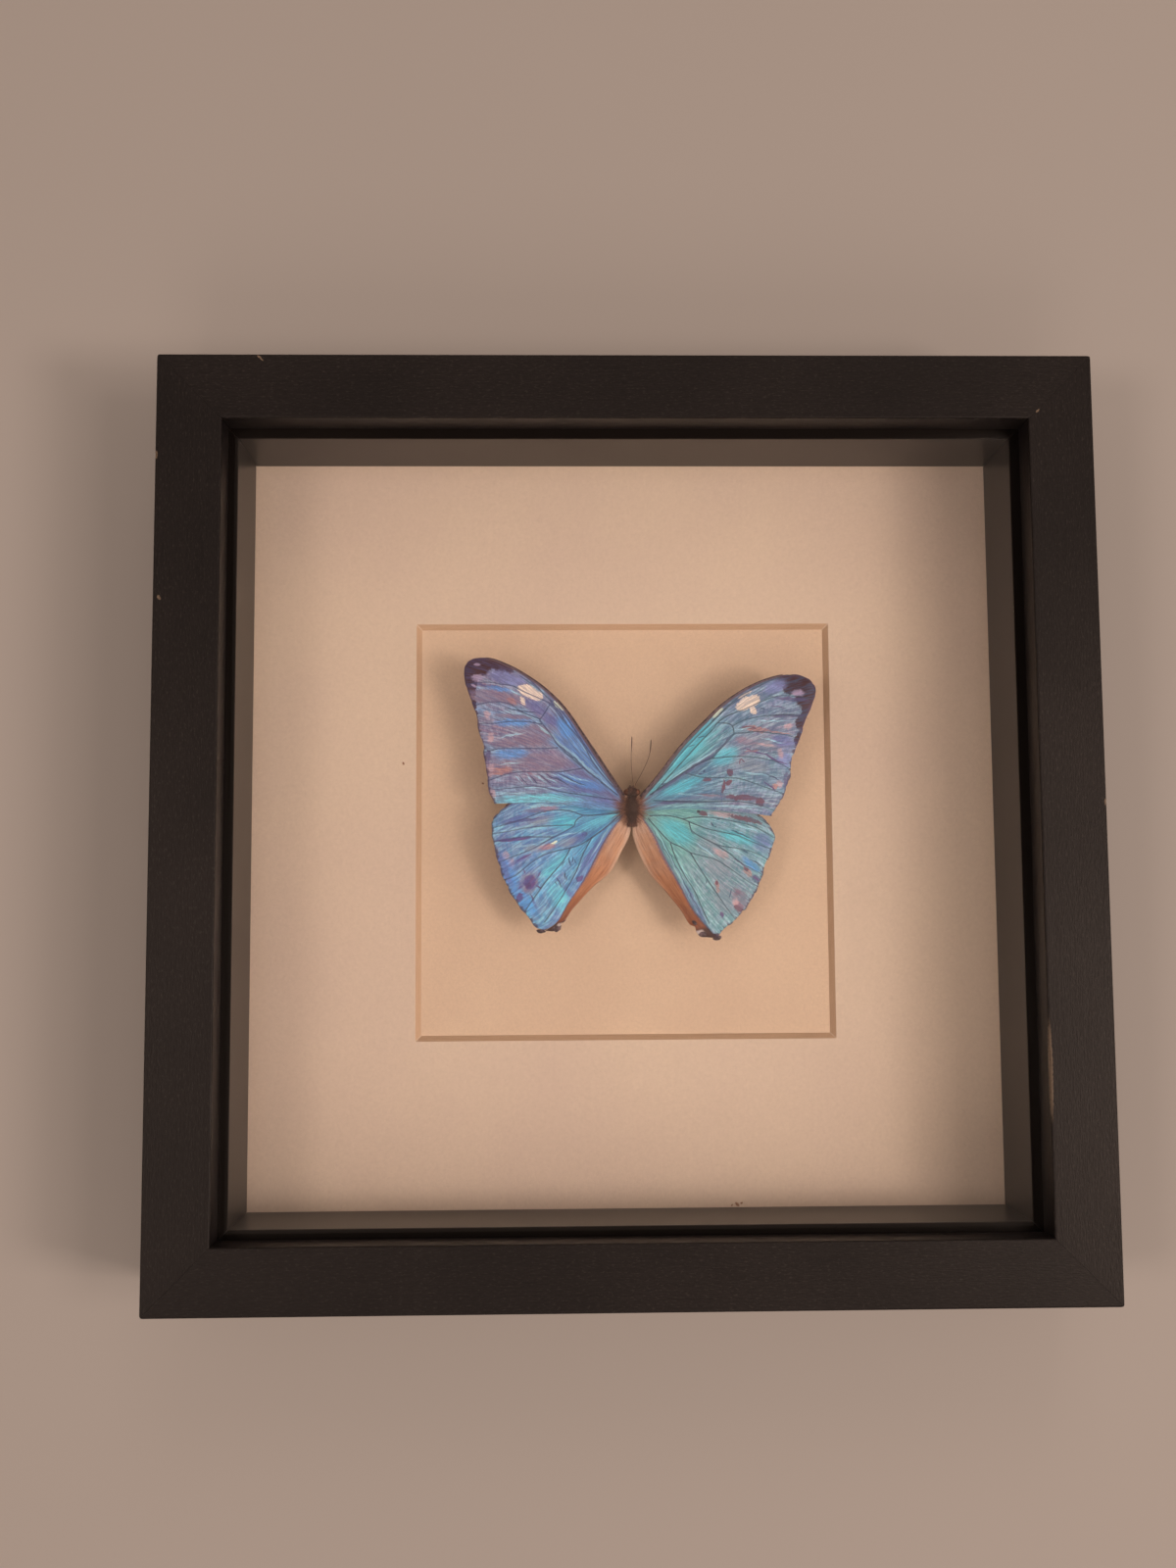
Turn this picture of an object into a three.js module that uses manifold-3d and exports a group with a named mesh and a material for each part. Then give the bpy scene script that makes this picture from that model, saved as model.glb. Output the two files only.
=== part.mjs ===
// Framed butterfly specimen: a deep square box frame that lies on its back, with a dried, spread
// butterfly behind its glass. Millimetres. +Z points out through the glass, +Y to the butterfly's head
// end, and the origin is the centre of the frame's rear face.
import * as THREE from "three";
import { mergeVertices } from "three/addons/utils/BufferGeometryUtils.js";
import Module from "manifold-3d";

const manifold = await Module();
manifold.setup();

// Frame
const FRAME_SIDE = 250;
const FRAME_DEPTH = 45;
const FACE_WIDTH = 17.4; // of a rail, seen from the front
const LIP_DEPTH = 9.25; // of the front lip that the glass rests against
const WALL_WIDTH = 13.5; // of a rail behind its lip
const EDGE_RADIUS = 0.8;
const REAR_CHAMFER = 0.4;
const MITRE_GAP = 0.06; // between a rail's end and the mitre line

// What fills the frame, from the rear
const RECESS_DEPTH = 3.2;
const PANEL_THICKNESS = 2.8;
const SHEET_THICKNESS = 0.4;
const MAT_THICKNESS = 1.6;
const GLASS_THICKNESS = 2;
const FIT_GAP = 0.3; // between the filling and the rails
const SPACER_INSIDE = 210.3; // between two facing inner walls
const WINDOW_SIDE = 116.5; // of the mat board's window, halfway up its bevel

// Retaining tabs, two on each side
const TAB_OFFSET = 55;
const TAB_WIDTH = 8;
const TAB_THICKNESS = 0.5;
const TAB_REACH = 10; // over the back panel
const TAB_BITE = 6; // into the rail

// Sawtooth hanger
const HANGER_LENGTH = 44;
const HANGER_WIDTH = 10;
const HANGER_THICKNESS = 0.8;
const HANGER_RAISE = 1.5;
const HANGER_BEND = 12; // from the middle to each bend
const HANGER_FROM_RAIL = 12;
const TOOTH_PITCH = 3;
const TOOTH_DEPTH = 2;
const TOOTH_COUNT = 7;
const NAIL_OFFSET = 17.5;
const NAIL_RADIUS = 0.6;
const NAIL_HEAD_RADIUS = 1.7;
const NAIL_HEAD_HEIGHT = 0.7;
const NAIL_DEPTH = 2;

// Specimen
const SPECIMEN_X = 1.6;
const SPECIMEN_Y = 4.9;
const BODY_HEIGHT = 18.2; // of the thorax's middle above the frame's rear face
const THORAX_RADII = [2.2, 4.45, 2.5];
const HEAD_RADII = [1.7, 1.7, 1.5];
const HEAD_FORWARD = 5.3;
const EYE_RADIUS = 0.85;
const EYE_SIDE = 1.35;
const BLOCK_SIZE = [3.2, 6];
const WING_THICKNESS = 0.5;
const FOREWING_HEIGHT = 0.2; // of its underside above the thorax's middle
const HINDWING_HEIGHT = -0.7;
const WING_LIFT = 1.5; // degrees that the wings rise towards their tips
const ANTENNA_RADIUS = 0.2;

// Wing outlines from the thorax's middle, from the front of the root round the tip and back.
const FOREWING_LEFT = [
  [-2.6, 3.6],
  [-6.8, 11],
  [-13.3, 21],
  [-18.9, 29],
  [-25.2, 35],
  [-33.8, 40.3],
  [-40.1, 42.5],
  [-44.7, 42.1],
  [-46.6, 39],
  [-45.7, 34],
  [-43.7, 28],
  [-42.2, 21],
  [-41, 15],
  [-40.2, 7.5],
  [-38.3, 1.7],
  [-30, 1.9],
  [-21.7, 1.8],
  [-12, 0.3],
  [-2.8, -0.2],
];
const FOREWING_RIGHT = [
  [2.9, 3.6],
  [6.1, 7.9],
  [13.5, 17.4],
  [19.8, 24],
  [26.1, 29.9],
  [34.3, 34.9],
  [42.4, 37.4],
  [49.5, 37.6],
  [52.4, 33.8],
  [51, 29.1],
  [48.4, 23.5],
  [46, 17.5],
  [44.4, 11.5],
  [42.4, 4],
  [38.8, -2.1],
  [27.9, -0.8],
  [15.1, 0.1],
  [2.8, 0],
];
const HINDWING_LEFT = [
  [-2.6, 1],
  [-15, 4.5],
  [-27, 4.8],
  [-34.5, 1.8],
  [-38.7, -3],
  [-39, -7],
  [-37.7, -12],
  [-36, -18.2],
  [-33, -24.4],
  [-28.6, -30.2],
  [-25.4, -33.4],
  [-22, -33.2],
  [-19.2, -30.9],
  [-13.9, -24.3],
  [-8.3, -19.3],
  [-4.4, -14.3],
  [-1.2, -8.5],
  [-0.6, -5.2],
  [-2.2, -2.8],
];
const HINDWING_RIGHT = [
  [2.8, 0.8],
  [14, 3],
  [26, 2.6],
  [34, -0.3],
  [39.2, -6],
  [39.2, -10],
  [37.2, -15.3],
  [34.6, -21.8],
  [31, -27.6],
  [27.3, -32.1],
  [24, -34.7],
  [22.5, -36],
  [19, -35],
  [16.1, -32],
  [10.9, -24.3],
  [5.9, -19.2],
  [3, -14.5],
  [0.9, -8.5],
  [0.5, -5.2],
  [2.2, -2.8],
];
// Antenna routes from the thorax's middle, from the head to the tip.
const ANTENNA_LEFT = [
  [0.6, 7.7, 0.5],
  [0, 13.5, 1.2],
  [0.2, 20.2, 1.5],
];
const ANTENNA_RIGHT = [
  [1.3, 7.8, 0.5],
  [4.2, 12.4, 1.2],
  [5.5, 19.2, 1.5],
];

// Heights in the frame
const LIP_Z = FRAME_DEPTH - LIP_DEPTH;
const PANEL_Z = RECESS_DEPTH;
const SHEET_Z = PANEL_Z + PANEL_THICKNESS;
const MAT_Z = SHEET_Z + SHEET_THICKNESS;
const SPACER_Z = MAT_Z + MAT_THICKNESS;
const GLASS_Z = LIP_Z - GLASS_THICKNESS;

// Half widths in the frame
const OUTER = FRAME_SIDE / 2;
const LIP_INNER = OUTER - FACE_WIDTH;
const WALL_INNER = OUTER - WALL_WIDTH;
const FILLING = WALL_INNER - FIT_GAP;

const ROUND_STEPS = 3;
const HOLE_SIDES = 12;
const ANTENNA_SIDES = 6;
const ANTENNA_STEPS = 10;
const OUTLINE_STEPS = 3; // between two points of a wing's outline

const BLACK_RAIL = { color: 0x1b1918, roughness: 0.45, metalness: 0 };
const BLACK_WALL = { color: 0x141312, roughness: 0.3, metalness: 0 };
const CLEAR_GLASS = { color: 0xdfe6e4, roughness: 0.05, metalness: 0 };
const MAT_WHITE = { color: 0xd9c8b4, roughness: 0.9, metalness: 0 };
const SHEET_CREAM = { color: 0xdcc3a2, roughness: 0.9, metalness: 0 };
const HARDBOARD = { color: 0x6b4a30, roughness: 0.8, metalness: 0 };
const STEEL = { color: 0x9b9a96, roughness: 0.35, metalness: 1 };
const FOAM = { color: 0xe8e0d0, roughness: 0.9, metalness: 0 };
const BROWN_HAIR = { color: 0x3a2418, roughness: 0.85, metalness: 0 };
const WING_BLUE = { color: 0x4f9ab8, roughness: 0.4, metalness: 0.2 };

// A geometry as a solid, and back.
function solidOf(geometry) {
  geometry.deleteAttribute("normal");
  geometry.deleteAttribute("uv");
  const merged = mergeVertices(geometry, 1e-4);
  const mesh = new manifold.Mesh({
    numProp: 3,
    vertProperties: merged.attributes.position.array,
    triVerts: new Uint32Array(merged.index.array),
  });
  return new manifold.Manifold(mesh);
}

function geometryOf(solid) {
  const mesh = solid.getMesh();
  const geometry = new THREE.BufferGeometry();
  geometry.setAttribute("position", new THREE.BufferAttribute(mesh.vertProperties, 3));
  geometry.setIndex(new THREE.BufferAttribute(mesh.triVerts, 1));
  return geometry;
}

function part(name, geometry, finish) {
  const mesh = new THREE.Mesh(geometry, new THREE.MeshStandardMaterial(finish));
  mesh.name = name;
  return mesh;
}

function block(width, length, height, x, y, bottom) {
  return new THREE.BoxGeometry(width, length, height).translate(x, y, bottom + height / 2);
}

function upright(radius, height, x, y, bottom) {
  return new THREE.CylinderGeometry(radius, radius, height, HOLE_SIDES)
    .rotateX(Math.PI / 2)
    .translate(x, y, bottom + height / 2);
}

function flatShape(points) {
  return new THREE.Shape(points.map(([x, y]) => new THREE.Vector2(x, y)));
}

// A quarter circle of section points about a centre, from one angle (in quarter turns) to the next.
function roundedCorner(out, z, radius, quarter) {
  const points = [];
  for (let i = 0; i <= ROUND_STEPS; i++) {
    const angle = ((quarter + i / ROUND_STEPS) * Math.PI) / 2;
    points.push([out + radius * Math.cos(angle), z + radius * Math.sin(angle)]);
  }
  return points;
}

// A strip along X on the frame's +Y side, with both ends mitred. Section points are
// [distance from the frame's middle, height], anticlockwise.
function mitredStrip(section) {
  const count = section.length;
  const positions = [];
  for (const end of [-1, 1])
    for (const [out, z] of section) positions.push(end * (out - MITRE_GAP), out, z);
  const indices = [];
  for (let i = 0; i < count; i++) {
    const j = (i + 1) % count;
    indices.push(i, j, count + j, i, count + j, count + i);
  }
  const contour = section.map(([out, z]) => new THREE.Vector2(out, z));
  for (const [a, b, c] of THREE.ShapeUtils.triangulateShape(contour, [])) {
    indices.push(a, c, b);
    indices.push(count + a, count + b, count + c);
  }
  const geometry = new THREE.BufferGeometry();
  geometry.setAttribute("position", new THREE.Float32BufferAttribute(positions, 3));
  geometry.setIndex(indices);
  return geometry;
}

// A rail: a front lip over a rebate, with slots for its two tabs.
function railGeometry() {
  const section = [
    ...roundedCorner(OUTER - EDGE_RADIUS, FRAME_DEPTH - EDGE_RADIUS, EDGE_RADIUS, 0),
    ...roundedCorner(LIP_INNER + EDGE_RADIUS, FRAME_DEPTH - EDGE_RADIUS, EDGE_RADIUS, 1),
    [LIP_INNER, LIP_Z],
    [WALL_INNER, LIP_Z],
    [WALL_INNER, REAR_CHAMFER],
    [WALL_INNER + REAR_CHAMFER, 0],
    [OUTER - REAR_CHAMFER, 0],
    [OUTER, REAR_CHAMFER],
  ];
  let rail = solidOf(mitredStrip(section));
  const slotHeight = TAB_THICKNESS + 2 * FIT_GAP;
  const slotDepth = TAB_BITE + FIT_GAP;
  const slotWidth = TAB_WIDTH + 2 * FIT_GAP;
  for (const x of [-TAB_OFFSET, TAB_OFFSET]) {
    const bottom = PANEL_Z - TAB_THICKNESS - FIT_GAP;
    const y = WALL_INNER + slotDepth / 2 - 0.5;
    const slot = block(slotWidth, slotDepth + 1, slotHeight, x, y, bottom);
    rail = rail.subtract(solidOf(slot));
  }
  return geometryOf(rail);
}

function spacerGeometry() {
  const inner = SPACER_INSIDE / 2;
  return mitredStrip([
    [inner, SPACER_Z],
    [FILLING, SPACER_Z],
    [FILLING, GLASS_Z],
    [inner, GLASS_Z],
  ]);
}

// A steel tab under the back panel, with its pointed end in the rail.
function tabGeometry(x) {
  const half = TAB_WIDTH / 2;
  const clip = 2;
  const inner = WALL_INNER - TAB_REACH;
  const outer = WALL_INNER + TAB_BITE;
  const outline = flatShape([
    [x - half + clip, inner],
    [x + half - clip, inner],
    [x + half, inner + clip],
    [x + half, outer - half],
    [x, outer],
    [x - half, outer - half],
    [x - half, inner + clip],
  ]);
  const options = { depth: TAB_THICKNESS, bevelEnabled: false };
  return new THREE.ExtrudeGeometry(outline, options).translate(0, 0, PANEL_Z - TAB_THICKNESS);
}

// The mat board is a square ring, so its section is turned round in four steps.
function matGeometry() {
  const bevel = MAT_THICKNESS / 2;
  const section = [
    [WINDOW_SIDE / 2 - bevel, MAT_Z],
    [FILLING, MAT_Z],
    [FILLING, MAT_Z + MAT_THICKNESS],
    [WINDOW_SIDE / 2 + bevel, MAT_Z + MAT_THICKNESS],
    [WINDOW_SIDE / 2 - bevel, MAT_Z],
  ].map(([out, z]) => new THREE.Vector2(out * Math.SQRT2, z));
  const ring = new THREE.LatheGeometry(section, 4).rotateX(Math.PI / 2).rotateZ(Math.PI / 4);
  return geometryOf(solidOf(ring));
}

function sheetGeometry(thickness, bottom) {
  return block(2 * FILLING, 2 * FILLING, thickness, 0, 0, bottom);
}

const HANGER_Y = WALL_INNER - HANGER_FROM_RAIL;

function panelGeometry() {
  let panel = solidOf(sheetGeometry(PANEL_THICKNESS, PANEL_Z));
  for (const x of [-NAIL_OFFSET, NAIL_OFFSET]) {
    const hole = upright(NAIL_RADIUS + FIT_GAP, NAIL_DEPTH + FIT_GAP + 1, x, HANGER_Y, PANEL_Z - 1);
    panel = panel.subtract(solidOf(hole));
  }
  return geometryOf(panel);
}

// The hanger: a strip whose middle stands off the back panel, with a row of teeth along the edge
// that hangs on the nail.
function hangerGeometry() {
  const half = HANGER_LENGTH / 2;
  const rise = HANGER_RAISE;
  const low = PANEL_Z - HANGER_THICKNESS;
  const section = flatShape([
    [-half, low],
    [-HANGER_BEND - 0.5, low],
    [-HANGER_BEND + rise - 0.5, low - rise],
    [HANGER_BEND - rise + 0.5, low - rise],
    [HANGER_BEND + 0.5, low],
    [half, low],
    [half, PANEL_Z],
    [HANGER_BEND, PANEL_Z],
    [HANGER_BEND - rise, PANEL_Z - rise],
    [-HANGER_BEND + rise, PANEL_Z - rise],
    [-HANGER_BEND, PANEL_Z],
    [-half, PANEL_Z],
  ]);
  const strip = new THREE.ExtrudeGeometry(section, { depth: HANGER_WIDTH, bevelEnabled: false })
    .rotateX(Math.PI / 2)
    .translate(0, HANGER_Y + HANGER_WIDTH / 2, 0);
  let hanger = solidOf(strip);
  const edge = HANGER_Y - HANGER_WIDTH / 2;
  const toothHalf = TOOTH_PITCH * 0.45;
  for (let i = 0; i < TOOTH_COUNT; i++) {
    const x = (i - (TOOTH_COUNT - 1) / 2) * TOOTH_PITCH;
    const notch = flatShape([
      [x - toothHalf, edge - 0.2],
      [x + toothHalf, edge - 0.2],
      [x, edge + TOOTH_DEPTH],
    ]);
    const cut = new THREE.ExtrudeGeometry(notch, { depth: PANEL_Z, bevelEnabled: false });
    hanger = hanger.subtract(solidOf(cut));
  }
  for (const x of [-NAIL_OFFSET, NAIL_OFFSET])
    hanger = hanger.subtract(solidOf(upright(NAIL_RADIUS + FIT_GAP, PANEL_Z + 1, x, HANGER_Y, 0)));
  return geometryOf(hanger);
}

// A small domed nail, its head against the hanger and its shank in the back panel.
function nailGeometry(x) {
  const under = PANEL_Z - HANGER_THICKNESS;
  const head = under - NAIL_HEAD_HEIGHT;
  const section = [
    [0, head],
    [NAIL_HEAD_RADIUS * 0.7, head + NAIL_HEAD_HEIGHT * 0.15],
    [NAIL_HEAD_RADIUS, head + NAIL_HEAD_HEIGHT * 0.6],
    [NAIL_HEAD_RADIUS, under],
    [NAIL_RADIUS, under],
    [NAIL_RADIUS, PANEL_Z + NAIL_DEPTH - NAIL_RADIUS],
    [0, PANEL_Z + NAIL_DEPTH],
  ].map(([radius, z]) => new THREE.Vector2(radius, z));
  const turned = new THREE.LatheGeometry(section, HOLE_SIDES).rotateX(Math.PI / 2);
  return turned.translate(x, HANGER_Y, 0);
}

function ellipsoid([across, along, up], x, y, columns, rows) {
  return new THREE.SphereGeometry(1, columns, rows)
    .rotateX(Math.PI / 2)
    .scale(across, along, up)
    .translate(x, y, 0);
}

// Thorax, head and two eyes as one body, about the thorax's middle.
function bodyGeometry() {
  let body = solidOf(ellipsoid(THORAX_RADII, 0, 0, 18, 12));
  body = body.add(solidOf(ellipsoid(HEAD_RADII, 0, HEAD_FORWARD, 14, 9)));
  for (const side of [-1, 1]) {
    const radii = [EYE_RADIUS, EYE_RADIUS, EYE_RADIUS];
    body = body.add(solidOf(ellipsoid(radii, side * EYE_SIDE, HEAD_FORWARD + 0.2, 10, 7)));
  }
  return geometryOf(body);
}

function wingGeometry(outline, height) {
  const points = outline.map(([x, y]) => new THREE.Vector3(x, y, 0));
  const edge = new THREE.CatmullRomCurve3(points, true, "centripetal");
  const shape = new THREE.Shape(
    edge.getPoints(outline.length * OUTLINE_STEPS).slice(1).map((p) => new THREE.Vector2(p.x, p.y)),
  );
  const options = { depth: WING_THICKNESS, bevelEnabled: false };
  return new THREE.ExtrudeGeometry(shape, options).translate(0, 0, height);
}

function antennaGeometry(route) {
  const path = new THREE.CatmullRomCurve3(route.map(([x, y, z]) => new THREE.Vector3(x, y, z)));
  const section = new THREE.Shape();
  for (let i = 0; i < ANTENNA_SIDES; i++) {
    const angle = (2 * Math.PI * i) / ANTENNA_SIDES;
    const x = ANTENNA_RADIUS * Math.cos(angle);
    const y = ANTENNA_RADIUS * Math.sin(angle);
    if (i === 0) section.moveTo(x, y);
    else section.lineTo(x, y);
  }
  const options = { steps: ANTENNA_STEPS, extrudePath: path, bevelEnabled: false };
  return new THREE.ExtrudeGeometry(section, options);
}

const TAB_PLACES = {
  top: ["left", "right"],
  left: ["lower", "upper"],
  bottom: ["right", "left"],
  right: ["upper", "lower"],
};

// The four sides, each made as the +Y side and turned.
function frameSides() {
  const sides = new THREE.Group();
  Object.keys(TAB_PLACES).forEach((name, quarter) => {
    const side = new THREE.Group();
    side.rotation.z = (quarter * Math.PI) / 2;
    side.add(part(`frame_rail_${name}`, railGeometry(), BLACK_RAIL));
    side.add(part(`spacer_${name}`, spacerGeometry(), BLACK_WALL));
    TAB_PLACES[name].forEach((place, i) => {
      const x = (2 * i - 1) * TAB_OFFSET;
      side.add(part(`retaining_tab_${name}_${place}`, tabGeometry(x), STEEL));
    });
    sides.add(side);
  });
  return sides;
}

function filling() {
  const group = new THREE.Group();
  group.add(part("glass_pane", sheetGeometry(GLASS_THICKNESS, GLASS_Z), CLEAR_GLASS));
  group.add(part("mat_board", matGeometry(), MAT_WHITE));
  group.add(part("backing_sheet", sheetGeometry(SHEET_THICKNESS, SHEET_Z), SHEET_CREAM));
  group.add(part("back_panel", panelGeometry(), HARDBOARD));
  group.add(part("sawtooth_hanger", hangerGeometry(), STEEL));
  group.add(part("hanger_nail_left", nailGeometry(-NAIL_OFFSET), STEEL));
  group.add(part("hanger_nail_right", nailGeometry(NAIL_OFFSET), STEEL));
  return group;
}

function wingPair(side, forewing, hindwing) {
  const pair = new THREE.Group();
  pair.rotation.y = THREE.MathUtils.degToRad(side === "left" ? WING_LIFT : -WING_LIFT);
  pair.add(part(`forewing_${side}`, wingGeometry(forewing, FOREWING_HEIGHT), WING_BLUE));
  pair.add(part(`hindwing_${side}`, wingGeometry(hindwing, HINDWING_HEIGHT), WING_BLUE));
  return pair;
}

function specimen() {
  const group = new THREE.Group();
  group.position.set(SPECIMEN_X, SPECIMEN_Y, BODY_HEIGHT);
  group.add(part("thorax_and_head", bodyGeometry(), BROWN_HAIR));
  const blockHeight = BODY_HEIGHT - THORAX_RADII[2] - FIT_GAP - MAT_Z;
  const foot = block(BLOCK_SIZE[0], BLOCK_SIZE[1], blockHeight, 0, 0, MAT_Z - BODY_HEIGHT);
  group.add(part("mounting_block", foot, FOAM));
  group.add(wingPair("left", FOREWING_LEFT, HINDWING_LEFT));
  group.add(wingPair("right", FOREWING_RIGHT, HINDWING_RIGHT));
  group.add(part("antenna_left", antennaGeometry(ANTENNA_LEFT), BROWN_HAIR));
  group.add(part("antenna_right", antennaGeometry(ANTENNA_RIGHT), BROWN_HAIR));
  return group;
}

const framedSpecimen = new THREE.Group();
framedSpecimen.add(frameSides(), filling(), specimen());

export default framedSpecimen;
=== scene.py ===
"""Framed butterfly specimen: a deep black box frame lying on its back, with a spread blue butterfly
behind its glass. Lengths here are millimetres, and the mesh helpers turn them into metres."""

import math
from contextlib import contextmanager

import bmesh
import bpy
import numpy as np
from mathutils import Matrix, Vector, kdtree, noise


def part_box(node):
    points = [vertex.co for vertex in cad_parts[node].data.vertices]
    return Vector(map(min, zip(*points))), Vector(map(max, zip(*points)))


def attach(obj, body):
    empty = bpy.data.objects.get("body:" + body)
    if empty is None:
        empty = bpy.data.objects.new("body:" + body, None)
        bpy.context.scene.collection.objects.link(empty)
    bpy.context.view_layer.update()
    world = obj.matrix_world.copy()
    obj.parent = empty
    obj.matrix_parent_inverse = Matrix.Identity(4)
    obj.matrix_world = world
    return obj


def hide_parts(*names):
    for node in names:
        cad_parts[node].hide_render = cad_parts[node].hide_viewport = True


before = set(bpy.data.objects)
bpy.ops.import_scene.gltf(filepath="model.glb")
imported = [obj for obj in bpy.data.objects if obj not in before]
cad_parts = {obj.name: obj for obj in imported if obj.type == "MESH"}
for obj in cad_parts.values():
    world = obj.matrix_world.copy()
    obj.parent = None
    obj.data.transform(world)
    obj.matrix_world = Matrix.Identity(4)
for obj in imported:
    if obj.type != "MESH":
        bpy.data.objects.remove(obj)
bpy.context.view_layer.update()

MM = 0.001
NOISE_SEED = 5
noise.seed_set(NOISE_SEED)  # noise_vector would otherwise take its pattern from the clock


# ---------------------------------------------------------------- camera, light and floor

CAMERA_PLACE = (-20.66, -27.75, 455.01)
CAMERA_TURN = Vector((5.218, -1.311, -0.313))  # degrees, one turn about this axis
CAMERA_LENS = 36.259
SENSOR_WIDTH = 36.0
NEAR_CLIP = 0.02  # metres
WARM_WHITE = (1.0, 0.75, 0.61)
SOFTBOXES = {  # place, size, brightness
    "right_light": ((1050, -320, 1200), 300, 0.125),
    "near_light": ((720, -60, 1250), 300, 0.08),
    "left_light": ((-720, -160, 1200), 300, 0.085),
    "upper_light": ((150, 1150, 1200), 600, 0.03),
    "lower_light": ((-60, -1150, 1200), 600, 0.045),
}
ROOM_BRIGHTNESS = 0.18


def new_object(name, data):
    made = bpy.data.objects.new(name, data)
    bpy.context.scene.collection.objects.link(made)
    return made


def add_camera():
    camera = bpy.data.cameras.new("camera")
    camera.lens = CAMERA_LENS
    camera.sensor_width = SENSOR_WIDTH
    camera.clip_start = NEAR_CLIP
    holder = new_object("camera", camera)
    turn = Matrix.Rotation(math.radians(CAMERA_TURN.length), 4, CAMERA_TURN)
    holder.matrix_world = Matrix.Translation(Vector(CAMERA_PLACE) * MM) @ turn
    bpy.context.scene.camera = holder


def add_softbox(name, place, size, brightness):
    """A square soft light that points at the frame's middle and lights a level sheet this much."""
    place = Vector(place) * MM
    light = bpy.data.lights.new(name, "AREA")
    light.shape = "SQUARE"
    light.size = size * MM
    light.energy = brightness * math.pi ** 2 * place.length ** 3 / place.z
    light.color = WARM_WHITE
    holder = new_object(name, light)
    holder.location = place
    holder.rotation_euler = (-place).to_track_quat("-Z", "Y").to_euler()


def add_room_light(strength):
    world = bpy.data.worlds.new("studio")
    world.use_nodes = True
    background = world.node_tree.nodes["Background"]
    background.inputs["Color"].default_value = (*WARM_WHITE, 1)
    background.inputs["Strength"].default_value = strength
    bpy.context.scene.world = world


add_camera()
for softbox, (place, size, brightness) in SOFTBOXES.items():
    add_softbox(softbox, place, size, brightness)
add_room_light(ROOM_BRIGHTNESS)
bpy.context.scene.view_settings.view_transform = "Standard"


# ---------------------------------------------------------------- places taken from the frame

def place_of(node):
    """Lowest and highest corner of a CAD node, in millimetres."""
    low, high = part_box(node)
    return low / MM, high / MM


RAIL_LOW, RAIL_HIGH = place_of("frame_rail_top")
SPACER_LOW, SPACER_HIGH = place_of("spacer_top")
MAT_LOW, MAT_HIGH = place_of("mat_board")
GLASS_LOW, GLASS_HIGH = place_of("glass_pane")
BLOCK_LOW, BLOCK_HIGH = place_of("mounting_block")
BODY_LOW, BODY_HIGH = place_of("thorax_and_head")

OUTER = RAIL_HIGH.y
LIP_INNER = RAIL_LOW.y
FRAME_DEPTH = RAIL_HIGH.z
LIP_Z = GLASS_HIGH.z  # the lip's rear side, where the glass lies
FIT_GAP = 0.3  # between a rail and what it holds
WALL_INNER = SPACER_HIGH.y + FIT_GAP
THORAX = Vector(((BLOCK_LOW.x + BLOCK_HIGH.x) / 2, (BLOCK_LOW.y + BLOCK_HIGH.y) / 2,
                 (BODY_LOW.z + BODY_HIGH.z) / 2))
SIDES = ("top", "left", "bottom", "right")  # each a quarter turn on from the one before
SAME_PLACE = 0.01  # places closer together than this count as one when edges are picked


# ---------------------------------------------------------------- tools for modelling

def pick(piece):
    bpy.ops.object.select_all(action="DESELECT")
    piece.select_set(True)
    bpy.context.view_layer.objects.active = piece


@contextmanager
def editing(piece, kind="FACE"):
    """Edit mode on one piece, with nothing selected at first."""
    pick(piece)
    bpy.ops.object.mode_set(mode="EDIT")
    bpy.ops.mesh.select_mode(type=kind)
    bpy.ops.mesh.select_all(action="DESELECT")
    yield
    bpy.ops.object.mode_set(mode="OBJECT")


def select_faces(piece, test):
    """Selects the faces whose middle (millimetres) and normal pass the test."""
    mesh = bmesh.from_edit_mesh(piece.data)
    for face in mesh.faces:
        face.select_set(test(face.calc_center_median() / MM, face.normal))
    bmesh.update_edit_mesh(piece.data)


def select_edges(piece, test):
    """Selects the edges whose two ends (millimetres) pass the test."""
    mesh = bmesh.from_edit_mesh(piece.data)
    for edge in mesh.edges:
        edge.select_set(test(edge.verts[0].co / MM, edge.verts[1].co / MM))
    bmesh.update_edit_mesh(piece.data)


def select_points(piece, test):
    mesh = bmesh.from_edit_mesh(piece.data)
    for point in mesh.verts:
        point.select_set(test(point.co / MM))
    mesh.select_flush(True)
    bmesh.update_edit_mesh(piece.data)


def rename(piece, name):
    piece.name = name
    piece.data.name = name


def name_piece(name):
    """Names the piece that was just added."""
    piece = bpy.context.object
    rename(piece, name)
    return piece


def settle(piece):
    """Puts the piece's place, turn and size into its mesh."""
    pick(piece)
    bpy.ops.object.transform_apply(location=True, rotation=True, scale=True)


def add_block(name, low, high):
    low, high = Vector(low), Vector(high)
    bpy.ops.mesh.primitive_cube_add(size=1, location=(low + high) / 2 * MM)
    piece = name_piece(name)
    piece.scale = (high - low) * MM
    settle(piece)
    return piece


def recalculate_normals(piece):
    with editing(piece):
        bpy.ops.mesh.select_all(action="SELECT")
        bpy.ops.mesh.normals_make_consistent(inside=False)


def merge_points(piece, distance=0.001):
    """Merges points this close together, so that no edge is too short for a clean cut."""
    with editing(piece, "VERT"):
        bpy.ops.mesh.select_all(action="SELECT")
        bpy.ops.mesh.remove_doubles(threshold=distance * MM)
        bpy.ops.mesh.normals_make_consistent(inside=False)


def apply_modifier(piece, kind, **settings):
    modifier = piece.modifiers.new(kind.lower(), kind)
    for setting, value in settings.items():
        setattr(modifier, setting, value)
    pick(piece)
    bpy.ops.object.modifier_apply(modifier=modifier.name)


def cut_away(piece, cutter):
    """Cuts one piece out of another, and takes the cutter away."""
    apply_modifier(piece, "BOOLEAN", object=cutter, operation="DIFFERENCE", solver="EXACT")
    bpy.data.objects.remove(cutter)


def smooth_all(piece):
    for face in piece.data.polygons:
        face.use_smooth = True


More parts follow.
